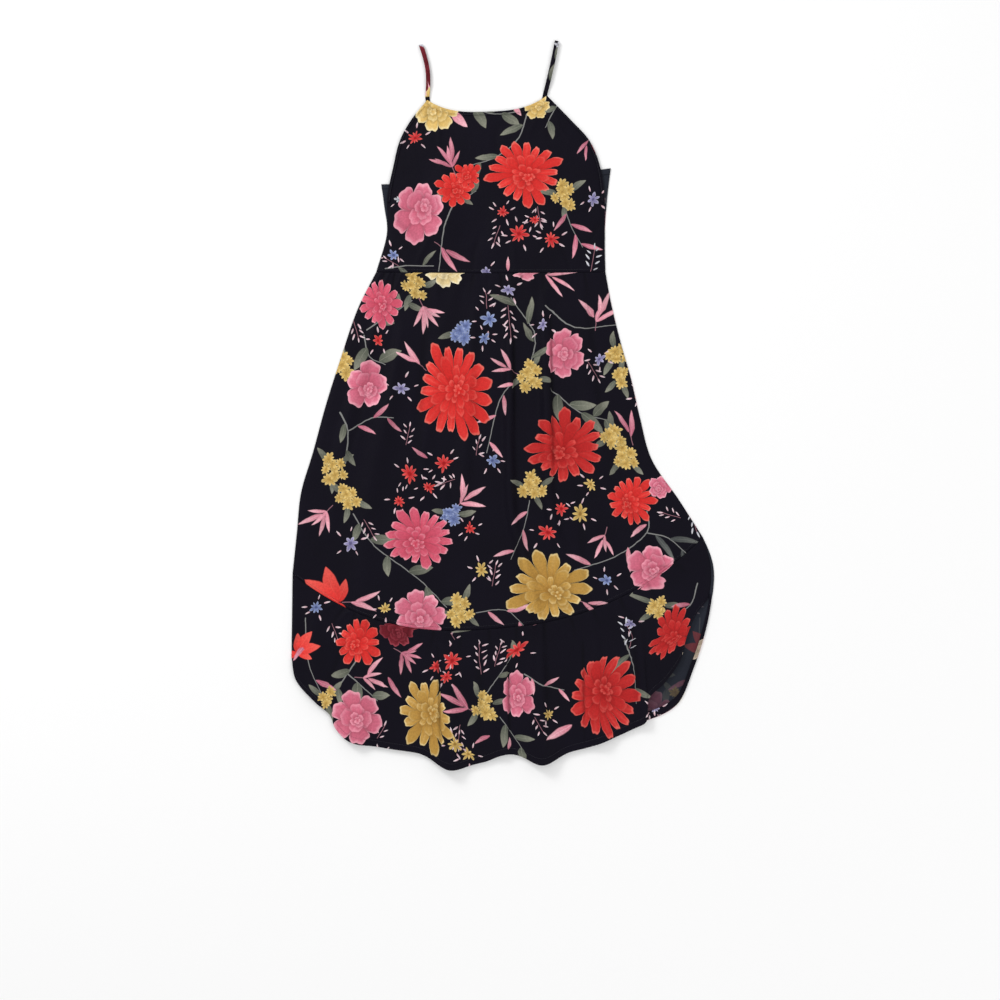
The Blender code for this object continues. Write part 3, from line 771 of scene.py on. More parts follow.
def flounce_print():
    p = Print(37)
    tier_crossing(p)
    p.dahlia(-27, -44.5, 4.6, RED, 12)
    p.dahlia(-14, -58, 7.0, GOLD, 14, 1.2, 96)
    p.dahlia(18, -54.5, 8.6, BRICK, 16, 1.2, 90)
    p.peony(-20, -42.5, 3.2, WINE)
    p.peony(-27.5, -58.5, 4.9, PINK, 6, 1.0, 40)
    p.peony(2.5, -54.5, 4.6, PINK, 6, 1.35, 90)
    p.peony(36, -46, 2.2, STONE, 5)
    p.lily(-38.5, -46.5, 40, 5.0)
    p.cluster(-3.5, -56.5, 2.4)
    p.cluster(-33, -55, 1.5)
    for x, y, size, paint in (
        (-9.5, -48, 2.2, STAR_RED), (-12.5, -49, 1.6, STAR_RED), (-10.5, -51, 1.3, STAR_RED),
        (2.5, -46, 2.3, STAR_RED), (-9, -63.5, 1.7, YELLOW), (-6.5, -65.5, 1.5, YELLOW),
        (-35, -38, 1.5, BLUE), (28.5, -57, 1.2, LILAC), (8.5, -58, 1.2, YELLOW),
    ):
        p.star(x, y, size, paint, 8, 5)
    p.branch([(-27.5, -48), (-29.5, -51), (-32, -54.5)], 2, 3.6, wide=0.32, width=0.16)
    p.branch([(-29, -50.5), (-26, -53), (-23.5, -55.5)], 2, 4.4, wide=0.36)
    p.branch([(-37, -40), (-36.5, -48), (-34, -54)], 2, 4.0, ROSE_LEAF, 0.18, 0.12)
    p.branch([(-3, -54), (0.5, -49), (2, -46.5)], 2, 3.2, width=0.11)
    p.branch([(-0.5, -58.5), (2, -62), (4, -65)], 3, 4.4, wide=0.28, width=0.11)
    p.branch([(4, -50.5), (7.5, -52.5), (11.5, -53.5)], 3, 3.4, PALE_PINK, 0.18)
    p.branch([(22.5, -43.5), (24.5, -49), (25, -56)], 2, 4.2, width=0.12)
    p.fan(-19, -46.5, -30, 6, 4.0)
    p.fan(-6.5, -57, 155, 3, 5.4)
    p.leaf(13, -60, 6.4, 206, PALE_PINK, 0.17)
    p.leaf(-21.5, -51, 4.6, -58, ROSE_LEAF, 0.17)
    p.leaf(1, -64.5, 2.6, 60, PALE_PINK, 0.26)
    for x, y, turn, reach in (
        (-4, -50.5, 95, 5.5), (-9, -44, 85, 3), (-23.5, -62.5, 60, 2.6), (-8, -60, 265, 4),
        (6, -58.5, -60, 3), (-32, -41, -70, 3), (27, -60, 30, 2.4), (-1.5, -49, 75, 4),
    ):
        p.sprig(x, y, turn, reach)
    p.fill(-37, -66, 34, -40, 110)
    return p


PRINTS = {"bodice": bodice_print(), "skirt": skirt_print(), "flounce": flounce_print()}


def taken_at(section, x, y):
    """How far the cloth under this place has been drawn sideways by creases, in centimetres."""
    spot = np.array([x * CM]), np.array([y * CM])
    return drape(section, *spot)[2][0] / CM


def spread(motifs, count, reach_of):
    """Sorts motifs into layers, in each of which as few as possible lie on each other."""
    layers = [[] for _ in range(count)]
    for motif in motifs:
        x, y, reach = reach_of(motif)
        crowding = []
        for layer in layers:
            crowd = 0.0
            for other in layer:
                other_x, other_y, other_reach = reach_of(other)
                gap = math.hypot(x - other_x, y - other_y)
                crowd += max(0.0, 1 - gap / (reach + other_reach))
            crowding.append(crowd)
        layers[int(np.argmin(crowding))].append(motif)
    return layers


def leaf_reach(leaf):
    half = leaf.length / 2
    lean = math.radians(leaf.turn)
    return leaf.x + half * math.cos(lean), leaf.y + half * math.sin(lean), half * 0.85


def round_reach(motif):
    return motif.x, motif.y, motif.size


def aim(x, y, turn, size, section, mirror, drawn):
    """Place and direction of a motif as the material reads them, in metres."""
    shift = taken_at(section, x, y) if drawn else 0.0
    lean = math.radians(180 - turn if mirror else turn)
    place_x = -x if mirror else x + shift
    scale = 1 / (size * CM)
    return [place_x * CM, y * CM, math.cos(lean) * scale, math.sin(lean) * scale]


# What the material reads of each motif beside its place: its size, the four numbers of its
# shape, and the numbers that go with its two colours.
def bloom_look(m, _):
    return m.size, [m.petals, m.seed * 40, m.ragged, m.ruffle], m.squash, m.cut


def floret_look(m, _):
    return m.size, [m.petals, m.seed * 40, m.ragged, m.point], 1.0, 1.0


def leaf_look(m, mirror):
    veined = 1.0 if m.length > 1.6 else 0.0
    return m.length, [m.wide, -m.bend if mirror else m.bend, m.seed, veined], 1.0, 1.0


def layers_of(section, mirror, drawn):
    """{layer: rows of (aim, shape, body paint, edge paint)} for one section of the cloth."""
    source = PRINTS[section]
    found = {}
    for names, motifs, reach_of, look_of in (
        (("bloom_a", "bloom_b"), source.blooms, round_reach, bloom_look),
        (("floret_a", "floret_b"), source.florets, round_reach, floret_look),
        (("leaf_a", "leaf_b", "leaf_c"), source.leaves, leaf_reach, leaf_look),
    ):
        for name, layer in zip(names, spread(motifs, len(names), reach_of)):
            found[name] = []
            for m in layer:
                size, shape, by_body, by_edge = look_of(m, mirror)
                placed = aim(m.x, m.y, m.turn, size, section, mirror, drawn)
                paints = [*m.paint.body, by_body], [*m.paint.edge, by_edge]
                found[name].append((placed, shape, *paints))
    for name, layer in (("stem_a", source.twigs[::2]), ("stem_b", source.twigs[1::2])):
        found[name] = []
        for m in layer:
            shifts = [taken_at(section, *end) if drawn else 0.0 for end in (m[:2], m[2:4])]
            x1, x2 = (-m.x1, -m.x2) if mirror else (m.x1 + shifts[0], m.x2 + shifts[1])
            line = [x1 * CM, m.y1 * CM, x2 * CM, m.y2 * CM]
            found[name].append((line, [*m.paint.body, m.width * CM]))
    return found


def nearest(kind, rows, centres):
    """The row that each face of the cloth belongs to."""
    if not rows:
        return None
    aims = np.array([row[0] for row in rows])
    x, y = centres[:, 0:1], centres[:, 1:2]
    if kind == "stem":
        run = aims[:, 2:4] - aims[:, 0:2]
        t = ((x - aims[:, 0]) * run[:, 0] + (y - aims[:, 1]) * run[:, 1]) / (run**2).sum(axis=1)
        t = np.clip(t, 0, 1)
        apart = np.hypot(x - aims[:, 0] - run[:, 0] * t, y - aims[:, 1] - run[:, 1] * t)
        return apart.argmin(axis=1)
    dx, dy = x - aims[:, 0], y - aims[:, 1]
    along = dx * aims[:, 2] + dy * aims[:, 3]
    aside = dy * aims[:, 2] - dx * aims[:, 3]
    if kind == "leaf":
        return np.hypot((along - 0.5) / 0.5, aside / 0.32).argmin(axis=1)
    return np.hypot(along, aside).argmin(axis=1)


LAYER_NAMES = (
    "stem_a", "stem_b", "leaf_a", "leaf_b", "leaf_c", "floret_a", "floret_b", "bloom_a", "bloom_b",
)
_layer_store = {}


def print_on(mesh, cloth_place, section, mirror=False, drawn=True):
    """Gives each face of a piece the motifs that it carries, one of every layer."""
    key = (section, mirror, drawn)
    if key not in _layer_store:
        _layer_store[key] = layers_of(*key)
    counts = np.empty(len(mesh.polygons), np.int32)
    mesh.polygons.foreach_get("loop_total", counts)
    corners = np.empty(len(mesh.loops), np.int32)
    mesh.loops.foreach_get("vertex_index", corners)
    owner = np.repeat(np.arange(len(counts)), counts)
    centres = np.zeros((len(counts), 2))
    for axis in (0, 1):
        sums = np.bincount(owner, weights=cloth_place[corners, axis], minlength=len(counts))
        centres[:, axis] = sums / counts
    for layer in LAYER_NAMES:
        rows = _layer_store[key][layer]
        kind = layer.split("_")[0]
        chosen = nearest(kind, rows, centres)
        for part in range(2 if kind == "stem" else 4):
            values = np.array([row[part] for row in rows], np.float32)[chosen]
            made = mesh.attributes.new(f"{layer}_{part}", "FLOAT_COLOR", "FACE")
            made.data.foreach_set("color", values.ravel())


# ---------------------------------------------------------------------------
# Shader groups.
# ---------------------------------------------------------------------------
class Wiring:
    """Adds nodes to one tree and wires them. A value is a number, a tuple or another's output."""

    def __init__(self, tree):
        self.tree = tree

    def add(self, kind, **settings):
        made = self.tree.nodes.new(kind)
        for key, value in settings.items():
            setattr(made, key, value)
        return made

    def feed(self, socket, value):
        if isinstance(value, bpy.types.NodeSocket):
            self.tree.links.new(value, socket)
        else:
            socket.default_value = value

    def math(self, operation, *values, clamp=False):
        made = self.add("ShaderNodeMath", operation=operation, use_clamp=clamp)
        for socket, value in zip(made.inputs, values):
            self.feed(socket, value)
        return made.outputs[0]

    def times(self, *values, clamp=False):
        return self.math("MULTIPLY", *values, clamp=clamp)

    def minus(self, *values, clamp=False):
        return self.math("SUBTRACT", *values, clamp=clamp)

    def line(self, *values, clamp=False):
        """The first value times the second, plus the third."""
        return self.math("MULTIPLY_ADD", *values, clamp=clamp)

    def vector(self, operation, *values):
        made = self.add("ShaderNodeVectorMath", operation=operation)
        for socket, value in zip(made.inputs, values):
            self.feed(socket, value)
        return made.outputs["Value" if operation in ("LENGTH", "DOT_PRODUCT") else "Vector"]

    def split(self, vector):
        made = self.add("ShaderNodeSeparateXYZ")
        self.feed(made.inputs[0], vector)
        return made.outputs[0], made.outputs[1], made.outputs[2]

    def join(self, x, y):
        made = self.add("ShaderNodeCombineXYZ")
        self.feed(made.inputs["X"], x)
        self.feed(made.inputs["Y"], y)
        return made.outputs[0]

    def mix(self, share, first, second):
        made = self.add("ShaderNodeMix", data_type="RGBA")
        self.feed(made.inputs[0], share)
        self.feed(made.inputs[6], first)
        self.feed(made.inputs[7], second)
        return made.outputs[2]

    def scaled(self, colour, amount):
        """The colour times a number."""
        made = self.add("ShaderNodeVectorMath", operation="SCALE")
        self.feed(made.inputs[0], colour)
        self.feed(made.inputs["Scale"], amount)
        return made.outputs[0]

    def noise(self, place, scale, detail=2.0, rough=0.5):
        made = self.add("ShaderNodeTexNoise", noise_dimensions="2D")
        self.feed(made.inputs["Vector"], place)
        made.inputs["Scale"].default_value = scale
        made.inputs["Detail"].default_value = detail
        made.inputs["Roughness"].default_value = rough
        return made.outputs[0], made.outputs[1]

    def place_group(self, group, values):
        made = self.add("ShaderNodeGroup", node_tree=group)
        for name, value in values.items():
            self.feed(made.inputs[name], value)
        return made.outputs


NUMBER, COLOUR, VECTOR = "NodeSocketFloat", "NodeSocketColor", "NodeSocketVector"


def start_group(name, inputs, outputs):
    tree = bpy.data.node_groups.new(name, "ShaderNodeTree")
    for label, kind in inputs:
        tree.interface.new_socket(name=label, in_out="INPUT", socket_type=kind)
    for label, kind in outputs:
        tree.interface.new_socket(name=label, in_out="OUTPUT", socket_type=kind)
    wires = Wiring(tree)
    entry = wires.add("NodeGroupInput").outputs
    return tree, wires, entry


def end_group(wires, **results):
    leaving = wires.add("NodeGroupOutput")
    for label, value in results.items():
        wires.feed(leaving.inputs[label], value)


MOTIF_INPUTS = (
    ("Place", VECTOR), ("Aim", VECTOR), ("Aim End", NUMBER), ("Shape", VECTOR),
    ("Shape End", NUMBER), ("Body", COLOUR), ("Body End", NUMBER), ("Edge", COLOUR),
    ("Edge End", NUMBER), ("Under", COLOUR), ("Wash", NUMBER),
)


def motif_frame(w, entry):
    """The place inside a motif, along and across it, in sizes of that motif."""
    _, _, cosine = w.split(entry["Aim"])
    away = w.vector("SUBTRACT", entry["Place"], entry["Aim"])
    x, y, _ = w.split(away)
    sine = entry["Aim End"]
    along = w.line(x, cosine, w.times(y, sine))
    aside = w.minus(w.times(y, cosine), w.times(x, sine))
    return along, aside


def petal_ring_group():
    """One ring of petals over whatever lies under it."""
    tree, w, entry = start_group(
        "petal ring",
        (
            ("Around", NUMBER), ("Out", NUMBER), ("Petals", NUMBER), ("Reach", NUMBER),
            ("Start", NUMBER), ("Ragged", NUMBER), ("Ruffle", NUMBER), ("Cut", NUMBER),
            ("Seed", NUMBER), ("Body", COLOUR), ("Edge", COLOUR), ("Under", COLOUR),
            ("Wash", NUMBER), ("Shade", NUMBER), ("Rim", NUMBER),
        ),
        (("Colour", COLOUR),),
    )
    turn = w.line(entry["Around"], entry["Petals"], entry["Start"])
    number = w.math("ROUND", turn)
    off = w.minus(turn, number)
    which = w.math("FLOORED_MODULO", number, entry["Petals"])
    chance = w.add("ShaderNodeTexWhiteNoise", noise_dimensions="1D")
    w.feed(chance.inputs["W"], w.line(which, 1.37, entry["Seed"]))
    luck = chance.outputs["Value"]
    side = w.times(w.math("ABSOLUTE", off), 2.0)
    # a petal's end is round, and the petals part a little way in
    arc = w.math("SQRT", w.minus(1.0, w.math("POWER", side, 2.4), clamp=True))
    hollow = w.times(entry["Cut"], w.minus(1.0, arc))
    waves = w.math("SINE", w.line(off, 17.0, w.times(luck, 6.0)))
    tip = w.minus(w.line(waves, entry["Ruffle"], 1.0), hollow)
    shorter = w.line(w.times(luck, entry["Ragged"]), -1.0, 1.0)
    rim_at = w.times(w.times(entry["Reach"], shorter), tip)
    inside = w.minus(rim_at, entry["Out"])
    mask = w.times(inside, 48.0, clamp=True)
    along = w.math("DIVIDE", entry["Out"], w.math("MAXIMUM", rim_at, 0.02), clamp=True)
    # deep at the heart of the bloom, full colour along the petal, pale along its edge
    deep = w.scaled(w.vector("MULTIPLY", entry["Body"], entry["Body"]), 1.1)
    depth = w.line(along, 0.50, 0.50, clamp=True)
    petal = w.mix(depth, deep, entry["Body"])
    stroke = w.times(w.math("POWER", w.minus(1.0, side), 3.0), along)
    petal = w.mix(w.times(stroke, w.times(luck, 0.26)), petal, entry["Edge"])
    thin = w.line(entry["Cut"], 40.0, -6.6)
    pale = w.minus(1.0, w.times(inside, thin), clamp=True)
    crease = w.line(side, 9.0, -8.0, clamp=True)
    outer = w.math("POWER", along, 4.0)
    pale = w.math("MAXIMUM", pale, w.times(w.times(crease, outer), 0.5))
    pale = w.times(pale, w.line(luck, 0.25, 0.72))
    pale = w.times(pale, entry["Rim"])
    petal = w.mix(pale, petal, entry["Edge"])
    gap = w.line(side, 3.4, -2.4, clamp=True)
    between = w.times(w.times(gap, along), w.minus(1.0, pale))
    tone = w.line(between, -0.42, w.line(luck, 0.18, 0.88))
    tone = w.times(tone, w.line(entry["Wash"], 0.5, 0.75))
    petal = w.scaled(petal, tone)
    shadow = w.line(inside, 9.0, 1.0, clamp=True)
    under = w.scaled(entry["Under"], w.line(shadow, w.times(entry["Shade"], -1.0), 1.0))
    end_group(w, Colour=w.mix(mask, under, petal))
    return tree


# One row for each ring of a bloom, the outer one first: its petals and its reach as shares of the
# outer ring's, the turn of its petals, how far it lies off the middle, the shade that it throws
# on the ring below, and how pale its rim is.
Ring = namedtuple("Ring", "petals reach start off shade rim")
BLOOM_RINGS = (
    Ring(1.0, 1.0, 0.0, 0.0, 0.0, 1.0),
    Ring(0.7, 0.68, 0.5, 0.06, 0.14, 0.36),
    Ring(0.5, 0.38, 0.1, 0.15, 0.16, 0.50),
    Ring(0.4, 0.18, 0.3, 0.20, 0.22, 0.60),
)


def bloom_group(ring):
    """A dahlia or a peony: rings of petals, the outer one underneath, round a heart that lies a
    little to one side."""
    tree, w, entry = start_group("bloom", MOTIF_INPUTS, (("Colour", COLOUR),))
    along, aside = motif_frame(w, entry)
    aside = w.times(aside, entry["Body End"])
    petals, seed, ragged = w.split(entry["Shape"])
    tilt = w.math("SINE", w.times(seed, 9.0))
    colour = entry["Under"]
    for i, row in enumerate(BLOOM_RINGS):
        x = w.line(tilt, row.off, along)
        y = w.math("ADD", aside, row.off * 0.7)
        count = petals
        if i:
            count = w.math("MAXIMUM", w.math("ROUND", w.times(petals, row.petals)), 4.0)
        colour = w.place_group(
            ring,
            {
                "Around": w.math("DIVIDE", w.math("ARCTAN2", y, x), 2 * math.pi),
                "Out": w.vector("LENGTH", w.join(x, y)),
                "Petals": count,
                "Reach": row.reach,
                "Start": row.start,
                "Ragged": w.times(ragged, 2.0 if i else 1.0),
                "Ruffle": entry["Shape End"],
                "Cut": entry["Edge End"],
                "Seed": w.math("ADD", seed, 7.3 * i),
                **{label: entry[label] for label in ("Body", "Edge", "Wash")},
                "Under": colour,
                "Shade": row.shade,
                "Rim": row.rim,
            },
        )["Colour"]
    end_group(w, Colour=colour)
    return tree


def floret_group():
    """A small flower with pointed or rounded petals and a dark eye."""
    tree, w, entry = start_group("floret", MOTIF_INPUTS, (("Colour", COLOUR),))
    along, aside = motif_frame(w, entry)
    out = w.vector("LENGTH", w.join(along, aside))
    around = w.math("DIVIDE", w.math("ARCTAN2", aside, along), 2 * math.pi)
    petals, seed, ragged = w.split(entry["Shape"])
    turn = w.times(around, petals)
    number = w.math("ROUND", turn)
    side = w.times(w.math("ABSOLUTE", w.minus(turn, number)), 2.0)
    chance = w.add("ShaderNodeTexWhiteNoise", noise_dimensions="1D")
    which = w.math("FLOORED_MODULO", number, petals)
    w.feed(chance.inputs["W"], w.line(which, 1.91, seed))
    luck = chance.outputs["Value"]
    shorter = w.line(w.times(luck, ragged), -1.0, 1.0)
    notch = w.times(entry["Shape End"], w.math("POWER", side, 1.5))
    tip = w.line(notch, -0.72, 1.0)
    inside = w.minus(w.times(shorter, tip), out)
    mask = w.times(inside, 14.0, clamp=True)
    pale = w.minus(1.0, w.times(inside, 3.2), clamp=True)
    colour = w.mix(w.times(pale, 0.75), entry["Body"], entry["Edge"])
    between = w.line(side, 3.0, -2.0, clamp=True)
    tone = w.line(between, -0.4, w.line(luck, 0.3, 0.8))
    tone = w.times(tone, w.line(entry["Wash"], 0.5, 0.75))
    colour = w.scaled(colour, tone)
    eye = w.line(out, -9.0, 2.1, clamp=True)
    dark = w.scaled(w.vector("MULTIPLY", entry["Body"], entry["Body"]), 0.5)
    colour = w.mix(w.times(eye, w.times(entry["Shape End"], 0.7)), colour, dark)
    end_group(w, Colour=w.mix(mask, entry["Under"], colour))
    return tree


def leaf_group():
    """A leaf, a narrow petal or a bud: full at its base, pointed at its tip, with a vein."""
    tree, w, entry = start_group("leaf", MOTIF_INPUTS, (("Colour", COLOUR),))
    along, aside = motif_frame(w, entry)
    wide, bend, seed = w.split(entry["Shape"])
    t = w.math("ADD", along, 0.0, clamp=True)
    left = w.minus(1.0, t)
    bow = w.times(w.times(t, left), w.times(bend, 4.0))
    apart = w.math("ABSOLUTE", w.minus(aside, bow))
    full = w.times(w.math("POWER", t, 0.62), w.math("POWER", left, 0.85))
    half = w.times(w.times(wide, 1.75), full)
    inside = w.minus(half, apart)
    mask = w.times(inside, 34.0, clamp=True)
    colour = w.mix(w.math("POWER", t, 1.3), entry["Body"], entry["Edge"])
    rim = w.minus(1.0, w.times(inside, 26.0), clamp=True)
    vein = w.minus(1.0, w.times(apart, 60.0), clamp=True)
    light = w.times(w.math("MAXIMUM", w.times(rim, 0.7), vein), entry["Shape End"])
    colour = w.mix(w.times(light, 0.75), colour, entry["Edge"])
    tone = w.times(w.line(seed, 0.30, 0.80), w.line(entry["Wash"], 0.6, 0.7))
    end_group(w, Colour=w.mix(mask, entry["Under"], w.scaled(colour, tone)))
    return tree


def stem_group():
    """A straight piece of stem from one place to another."""
    tree, w, entry = start_group(
        "stem",
        (
            ("Place", VECTOR), ("Start", VECTOR), ("End Y", NUMBER), ("Body", COLOUR),
            ("Width", NUMBER), ("Under", COLOUR),
        ),
        (("Colour", COLOUR),),
    )
    start_x, start_y, end_x = w.split(entry["Start"])
    x, y, _ = w.split(w.vector("SUBTRACT", entry["Place"], entry["Start"]))
    away = w.join(x, y)
    run = w.join(w.minus(end_x, start_x), w.minus(entry["End Y"], start_y))
    length = w.math("MAXIMUM", w.vector("DOT_PRODUCT", run, run), 1e-9)
    t = w.math("DIVIDE", w.vector("DOT_PRODUCT", away, run), length, clamp=True)
    apart = w.vector("LENGTH", w.vector("SUBTRACT", away, w.scaled(run, t)))
    inside = w.minus(entry["Width"], apart)
    mask = w.times(inside, 2600.0, clamp=True)
    lit = w.line(w.math("DIVIDE", inside, entry["Width"]), 0.45, 0.75)
    end_group(w, Colour=w.mix(mask, entry["Under"], w.scaled(entry["Body"], lit)))
    return tree


def weave_group():
    """The crepe surface of a fine woven cloth: crossing threads, and slubs that break them up."""
    tree, w, entry = start_group(
        "crepe weave",
        (("Place", VECTOR), ("Threads", NUMBER), ("Crinkle", NUMBER)),
        (("Height", NUMBER), ("Tone", NUMBER)),
    )
    x, y, _ = w.split(entry["Place"])
    slub, _ = w.noise(entry["Place"], 900.0, 3.0, 0.6)
    drift, _ = w.noise(entry["Place"], 55.0, 3.0, 0.55)
    across = w.math("SINE", w.line(x, entry["Threads"], w.times(slub, 4.0)))
    down = w.math("SINE", w.line(y, entry["Threads"], w.times(slub, 4.0)))
    threads = w.line(w.times(across, down), 0.5, 0.5)
    height = w.line(threads, 0.12, w.times(slub, 0.30))
    height = w.line(drift, entry["Crinkle"], height)
    tone = w.line(threads, 0.10, w.line(slub, 0.24, 0.83))
    end_group(w, Height=height, Tone=tone)
    return tree


RING = petal_ring_group()
BLOOM, FLORET, LEAF, STEM_LINE, WEAVE = (
    bloom_group(RING), floret_group(), leaf_group(), stem_group(), weave_group(),
)
MOTIF_PARTS = (("Aim", "Aim End"), ("Shape", "Shape End"), ("Body", "Body End"), ("Edge", "Edge End"))
GROUPS = {
    "bloom": (BLOOM, MOTIF_PARTS),
    "floret": (FLORET, MOTIF_PARTS),
    "leaf": (LEAF, MOTIF_PARTS),
    "stem": (STEM_LINE, (("Start", "End Y"), ("Body", "Width"))),
}
WAVER = {"bloom": 0.0045, "floret": 0.0040, "leaf": 0.0022, "stem": 0.0022}
GROUND = linear(9, 6, 19)
INSIDE_GROUND = linear(36, 39, 48)


def printed_cloth(name, ground, strength, roughness, sheen):
    """The dress's cloth: the dark ground, the print over it layer by layer, and the weave."""
    made = bpy.data.materials.new(name)
    made.use_nodes = True
    w = Wiring(made.node_tree)
    shader = made.node_tree.nodes["Principled BSDF"]
    lying = w.add("ShaderNodeAttribute", attribute_name="cloth").outputs["Vector"]
    _, waver = w.noise(lying, 62.0, 2.0, 0.5)
    waver = w.vector("MULTIPLY", w.vector("SUBTRACT", waver, (0.5, 0.5, 0.5)), (1.0, 1.0, 0.0))
    places = {
        kind: w.vector("ADD", lying, w.scaled(waver, amount)) for kind, amount in WAVER.items()
    }
    wash, _ = w.noise(lying, 260.0, 3.0, 0.6)
    broad, _ = w.noise(lying, 9.0, 2.0, 0.5)
    base = w.scaled(ground, w.line(broad, 0.5, 0.75))
    colour = base
    for layer in LAYER_NAMES:
        kind = layer.split("_")[0]
        group, labels = GROUPS[kind]
        values = {"Place": places[kind], "Under": colour}
        if kind != "stem":
            values["Wash"] = wash
        for i, (label, end_label) in enumerate(labels):
            part = w.add("ShaderNodeAttribute", attribute_name=f"{layer}_{i}").outputs
            values[label], values[end_label] = part["Color"], part["Alpha"]
        colour = w.place_group(group, values)["Colour"]
    if strength < 1:
        # the wrong side: the print only shows through
        colour = w.mix(strength, base, colour)
    # painted shade: fold_shade darkens the colour in the troughs of creases and gathers and beside
    # the lapped folds
    fold = w.add("ShaderNodeAttribute", attribute_name="fold_shade").outputs["Fac"]
    weave = w.place_group(WEAVE, {"Place": lying, "Threads": 9000.0, "Crinkle": 1.6})
    colour = w.scaled(w.scaled(colour, weave["Tone"]), w.line(fold, -0.62, 1.0))
    w.feed(shader.inputs["Base Color"], colour)
    relief = w.add("ShaderNodeBump")
    relief.inputs["Strength"].default_value = 0.55
    relief.inputs["Distance"].default_value = 0.0011
    w.feed(relief.inputs["Height"], weave["Height"])
    w.feed(shader.inputs["Normal"], relief.outputs[0])
    shader.inputs["Roughness"].default_value = roughness
    shader.inputs["Specular IOR Level"].default_value = 0.09
    shader.inputs["Sheen Weight"].default_value = sheen
    shader.inputs["Sheen Roughness"].default_value = 0.45
    return made


PRINTED = printed_cloth("printed crepe", GROUND, 1.0, 0.62, 0.02)
WRONG_SIDE = printed_cloth("crepe wrong side", INSIDE_GROUND, 0.13, 0.80, 0.06)


def thread_material():
    made = bpy.data.materials.new("black sewing thread")
    made.use_nodes = True
    w = Wiring(made.node_tree)
    shader = made.node_tree.nodes["Principled BSDF"]
    place = w.add("ShaderNodeNewGeometry").outputs["Position"]
    twist = w.add("ShaderNodeTexNoise")
    twist.inputs["Scale"].default_value = 1500.0
    w.feed(twist.inputs["Vector"], place)
    dark, light = (*linear(24, 24, 32), 1.0), (*linear(52, 52, 62), 1.0)
    w.feed(shader.inputs["Base Color"], w.mix(twist.outputs[0], dark, light))
    relief = w.add("ShaderNodeBump")
    relief.inputs["Distance"].default_value = 0.0002
    w.feed(relief.inputs["Height"], twist.outputs[0])
    w.feed(shader.inputs["Normal"], relief.outputs[0])
    shader.inputs["Roughness"].default_value = 0.55
    return made


THREAD = thread_material()


# ---------------------------------------------------------------------------
# The pieces.
# ---------------------------------------------------------------------------
def object_from(name, points, faces):
    mesh = bpy.data.meshes.new(name)
    mesh.from_pydata(points.tolist(), [], [list(face) for face in faces])
    mesh.update()
    mesh.polygons.foreach_set("use_smooth", np.full(len(mesh.polygons), True))
    made = bpy.data.objects.new(name, mesh)
    bpy.context.scene.collection.objects.link(made)
    return made


def set_points(mesh, name, kind, values):
    made = mesh.attributes.new(name, kind, "POINT")
    field = "vector" if kind == "FLOAT_VECTOR" else "value"
    made.data.foreach_set(field, np.asarray(values, np.float32).ravel())


def cloth_shell(name, across, down, spot, top, thick, section, front=True):
    """A thin closed shell: a grid of cloth, its underside, and the edge all round. thick is its
    thickness, or the function that gives it. A back panel carries its print on its underside."""
    u, v = np.meshgrid(across, down)
    x, y = spot(u, v)
    if down[0] < 1e-6:
        y = y.copy()
        y[0] -= GAP
    x, y = x + MOVE_X, y + MOVE_Y
    z = top(u, v)
    height, shade, taken = drape(section if front else None, x, y)
    if front:
        z = np.maximum(z + height * edge_fade(u), LOWEST_TOP)
    thickness = thick(u, v) if callable(thick) else thick
    rows, columns = u.shape
    upper = np.stack([x, y, z], -1).reshape(-1, 3)
    lower = np.stack([x, y, z - thickness], -1).reshape(-1, 3)
    index = np.arange(rows * columns).reshape(rows, columns)
    a, b, c, d = index[:-1, :-1], index[1:, :-1], index[1:, 1:], index[:-1, 1:]
    top_faces = np.stack([a, b, c, d], -1).reshape(-1, 4)
    low_faces = top_faces[:, ::-1] + rows * columns
    loop = np.concatenate([index[0, :], index[1:, -1], index[-1, -2::-1], index[-2:0:-1, 0]])
    after = np.roll(loop, -1)
    rim = np.stack([loop, after, after + rows * columns, loop + rows * columns], -1)
    faces = np.concatenate([top_faces, low_faces, rim])
    made = object_from(name, np.concatenate([upper, lower]), faces)
    mesh = made.data

    set_points(mesh, "fold_shade", "FLOAT", np.clip(np.tile(shade.ravel(), 2), 0, 1))
    place = np.stack([x + taken, y, np.zeros_like(x)], -1).reshape(-1, 3)
    place = np.concatenate([place, place])
    set_points(mesh, "cloth", "FLOAT_VECTOR", place)
    print_on(mesh, place[:, :2], section, mirror=not front, drawn=front)

    mesh.materials.append(PRINTED)
    mesh.materials.append(WRONG_SIDE)
    count = len(top_faces)
    use = np.zeros(len(faces), np.int32)
    use[slice(count, 2 * count) if front else slice(count)] = 1
    mesh.polygons.foreach_set("material_index", use)
    lay_out(mesh, rows, columns, count, front)
    return made


def lay_out(mesh, rows, columns, count, front):
    """Baking coordinates: most of the square for the side that is printed, the rest for the other."""
    made = mesh.uv_layers.new(name="OFBake")
    down, across = np.meshgrid(np.linspace(0, 1, rows), np.linspace(0, 1, columns), indexing="ij")
    square = np.stack([across, down], -1)
    corners = np.stack(
        [square[:-1, :-1], square[1:, :-1], square[1:, 1:], square[:-1, 1:]], 2
    ).reshape(-1, 4, 2)
    wide, narrow = corners * (0.84, 1.0), corners * (0.11, 1.0) + (0.87, 0.0)
    top, low = (wide, narrow) if front else (narrow, wide)
    rim_count = len(mesh.polygons) - 2 * count
    steps = np.arange(rim_count) / rim_count
    rim = np.stack(
        [
            np.stack([np.full(rim_count, at), steps + further], -1)
            for at, further in ((0.85, 0), (0.85, 1 / rim_count), (0.86, 1 / rim_count), (0.86, 0))
        ],
        1,
    )
    values = np.concatenate([top, low[:, ::-1], rim]).astype(np.float32)
    made.data.foreach_set("uv", values.ravel())


def edge_fade(u):
    """Creases die away at the side seams."""
    return np.clip((1 - np.abs(u)) / 0.05, 0, 1)


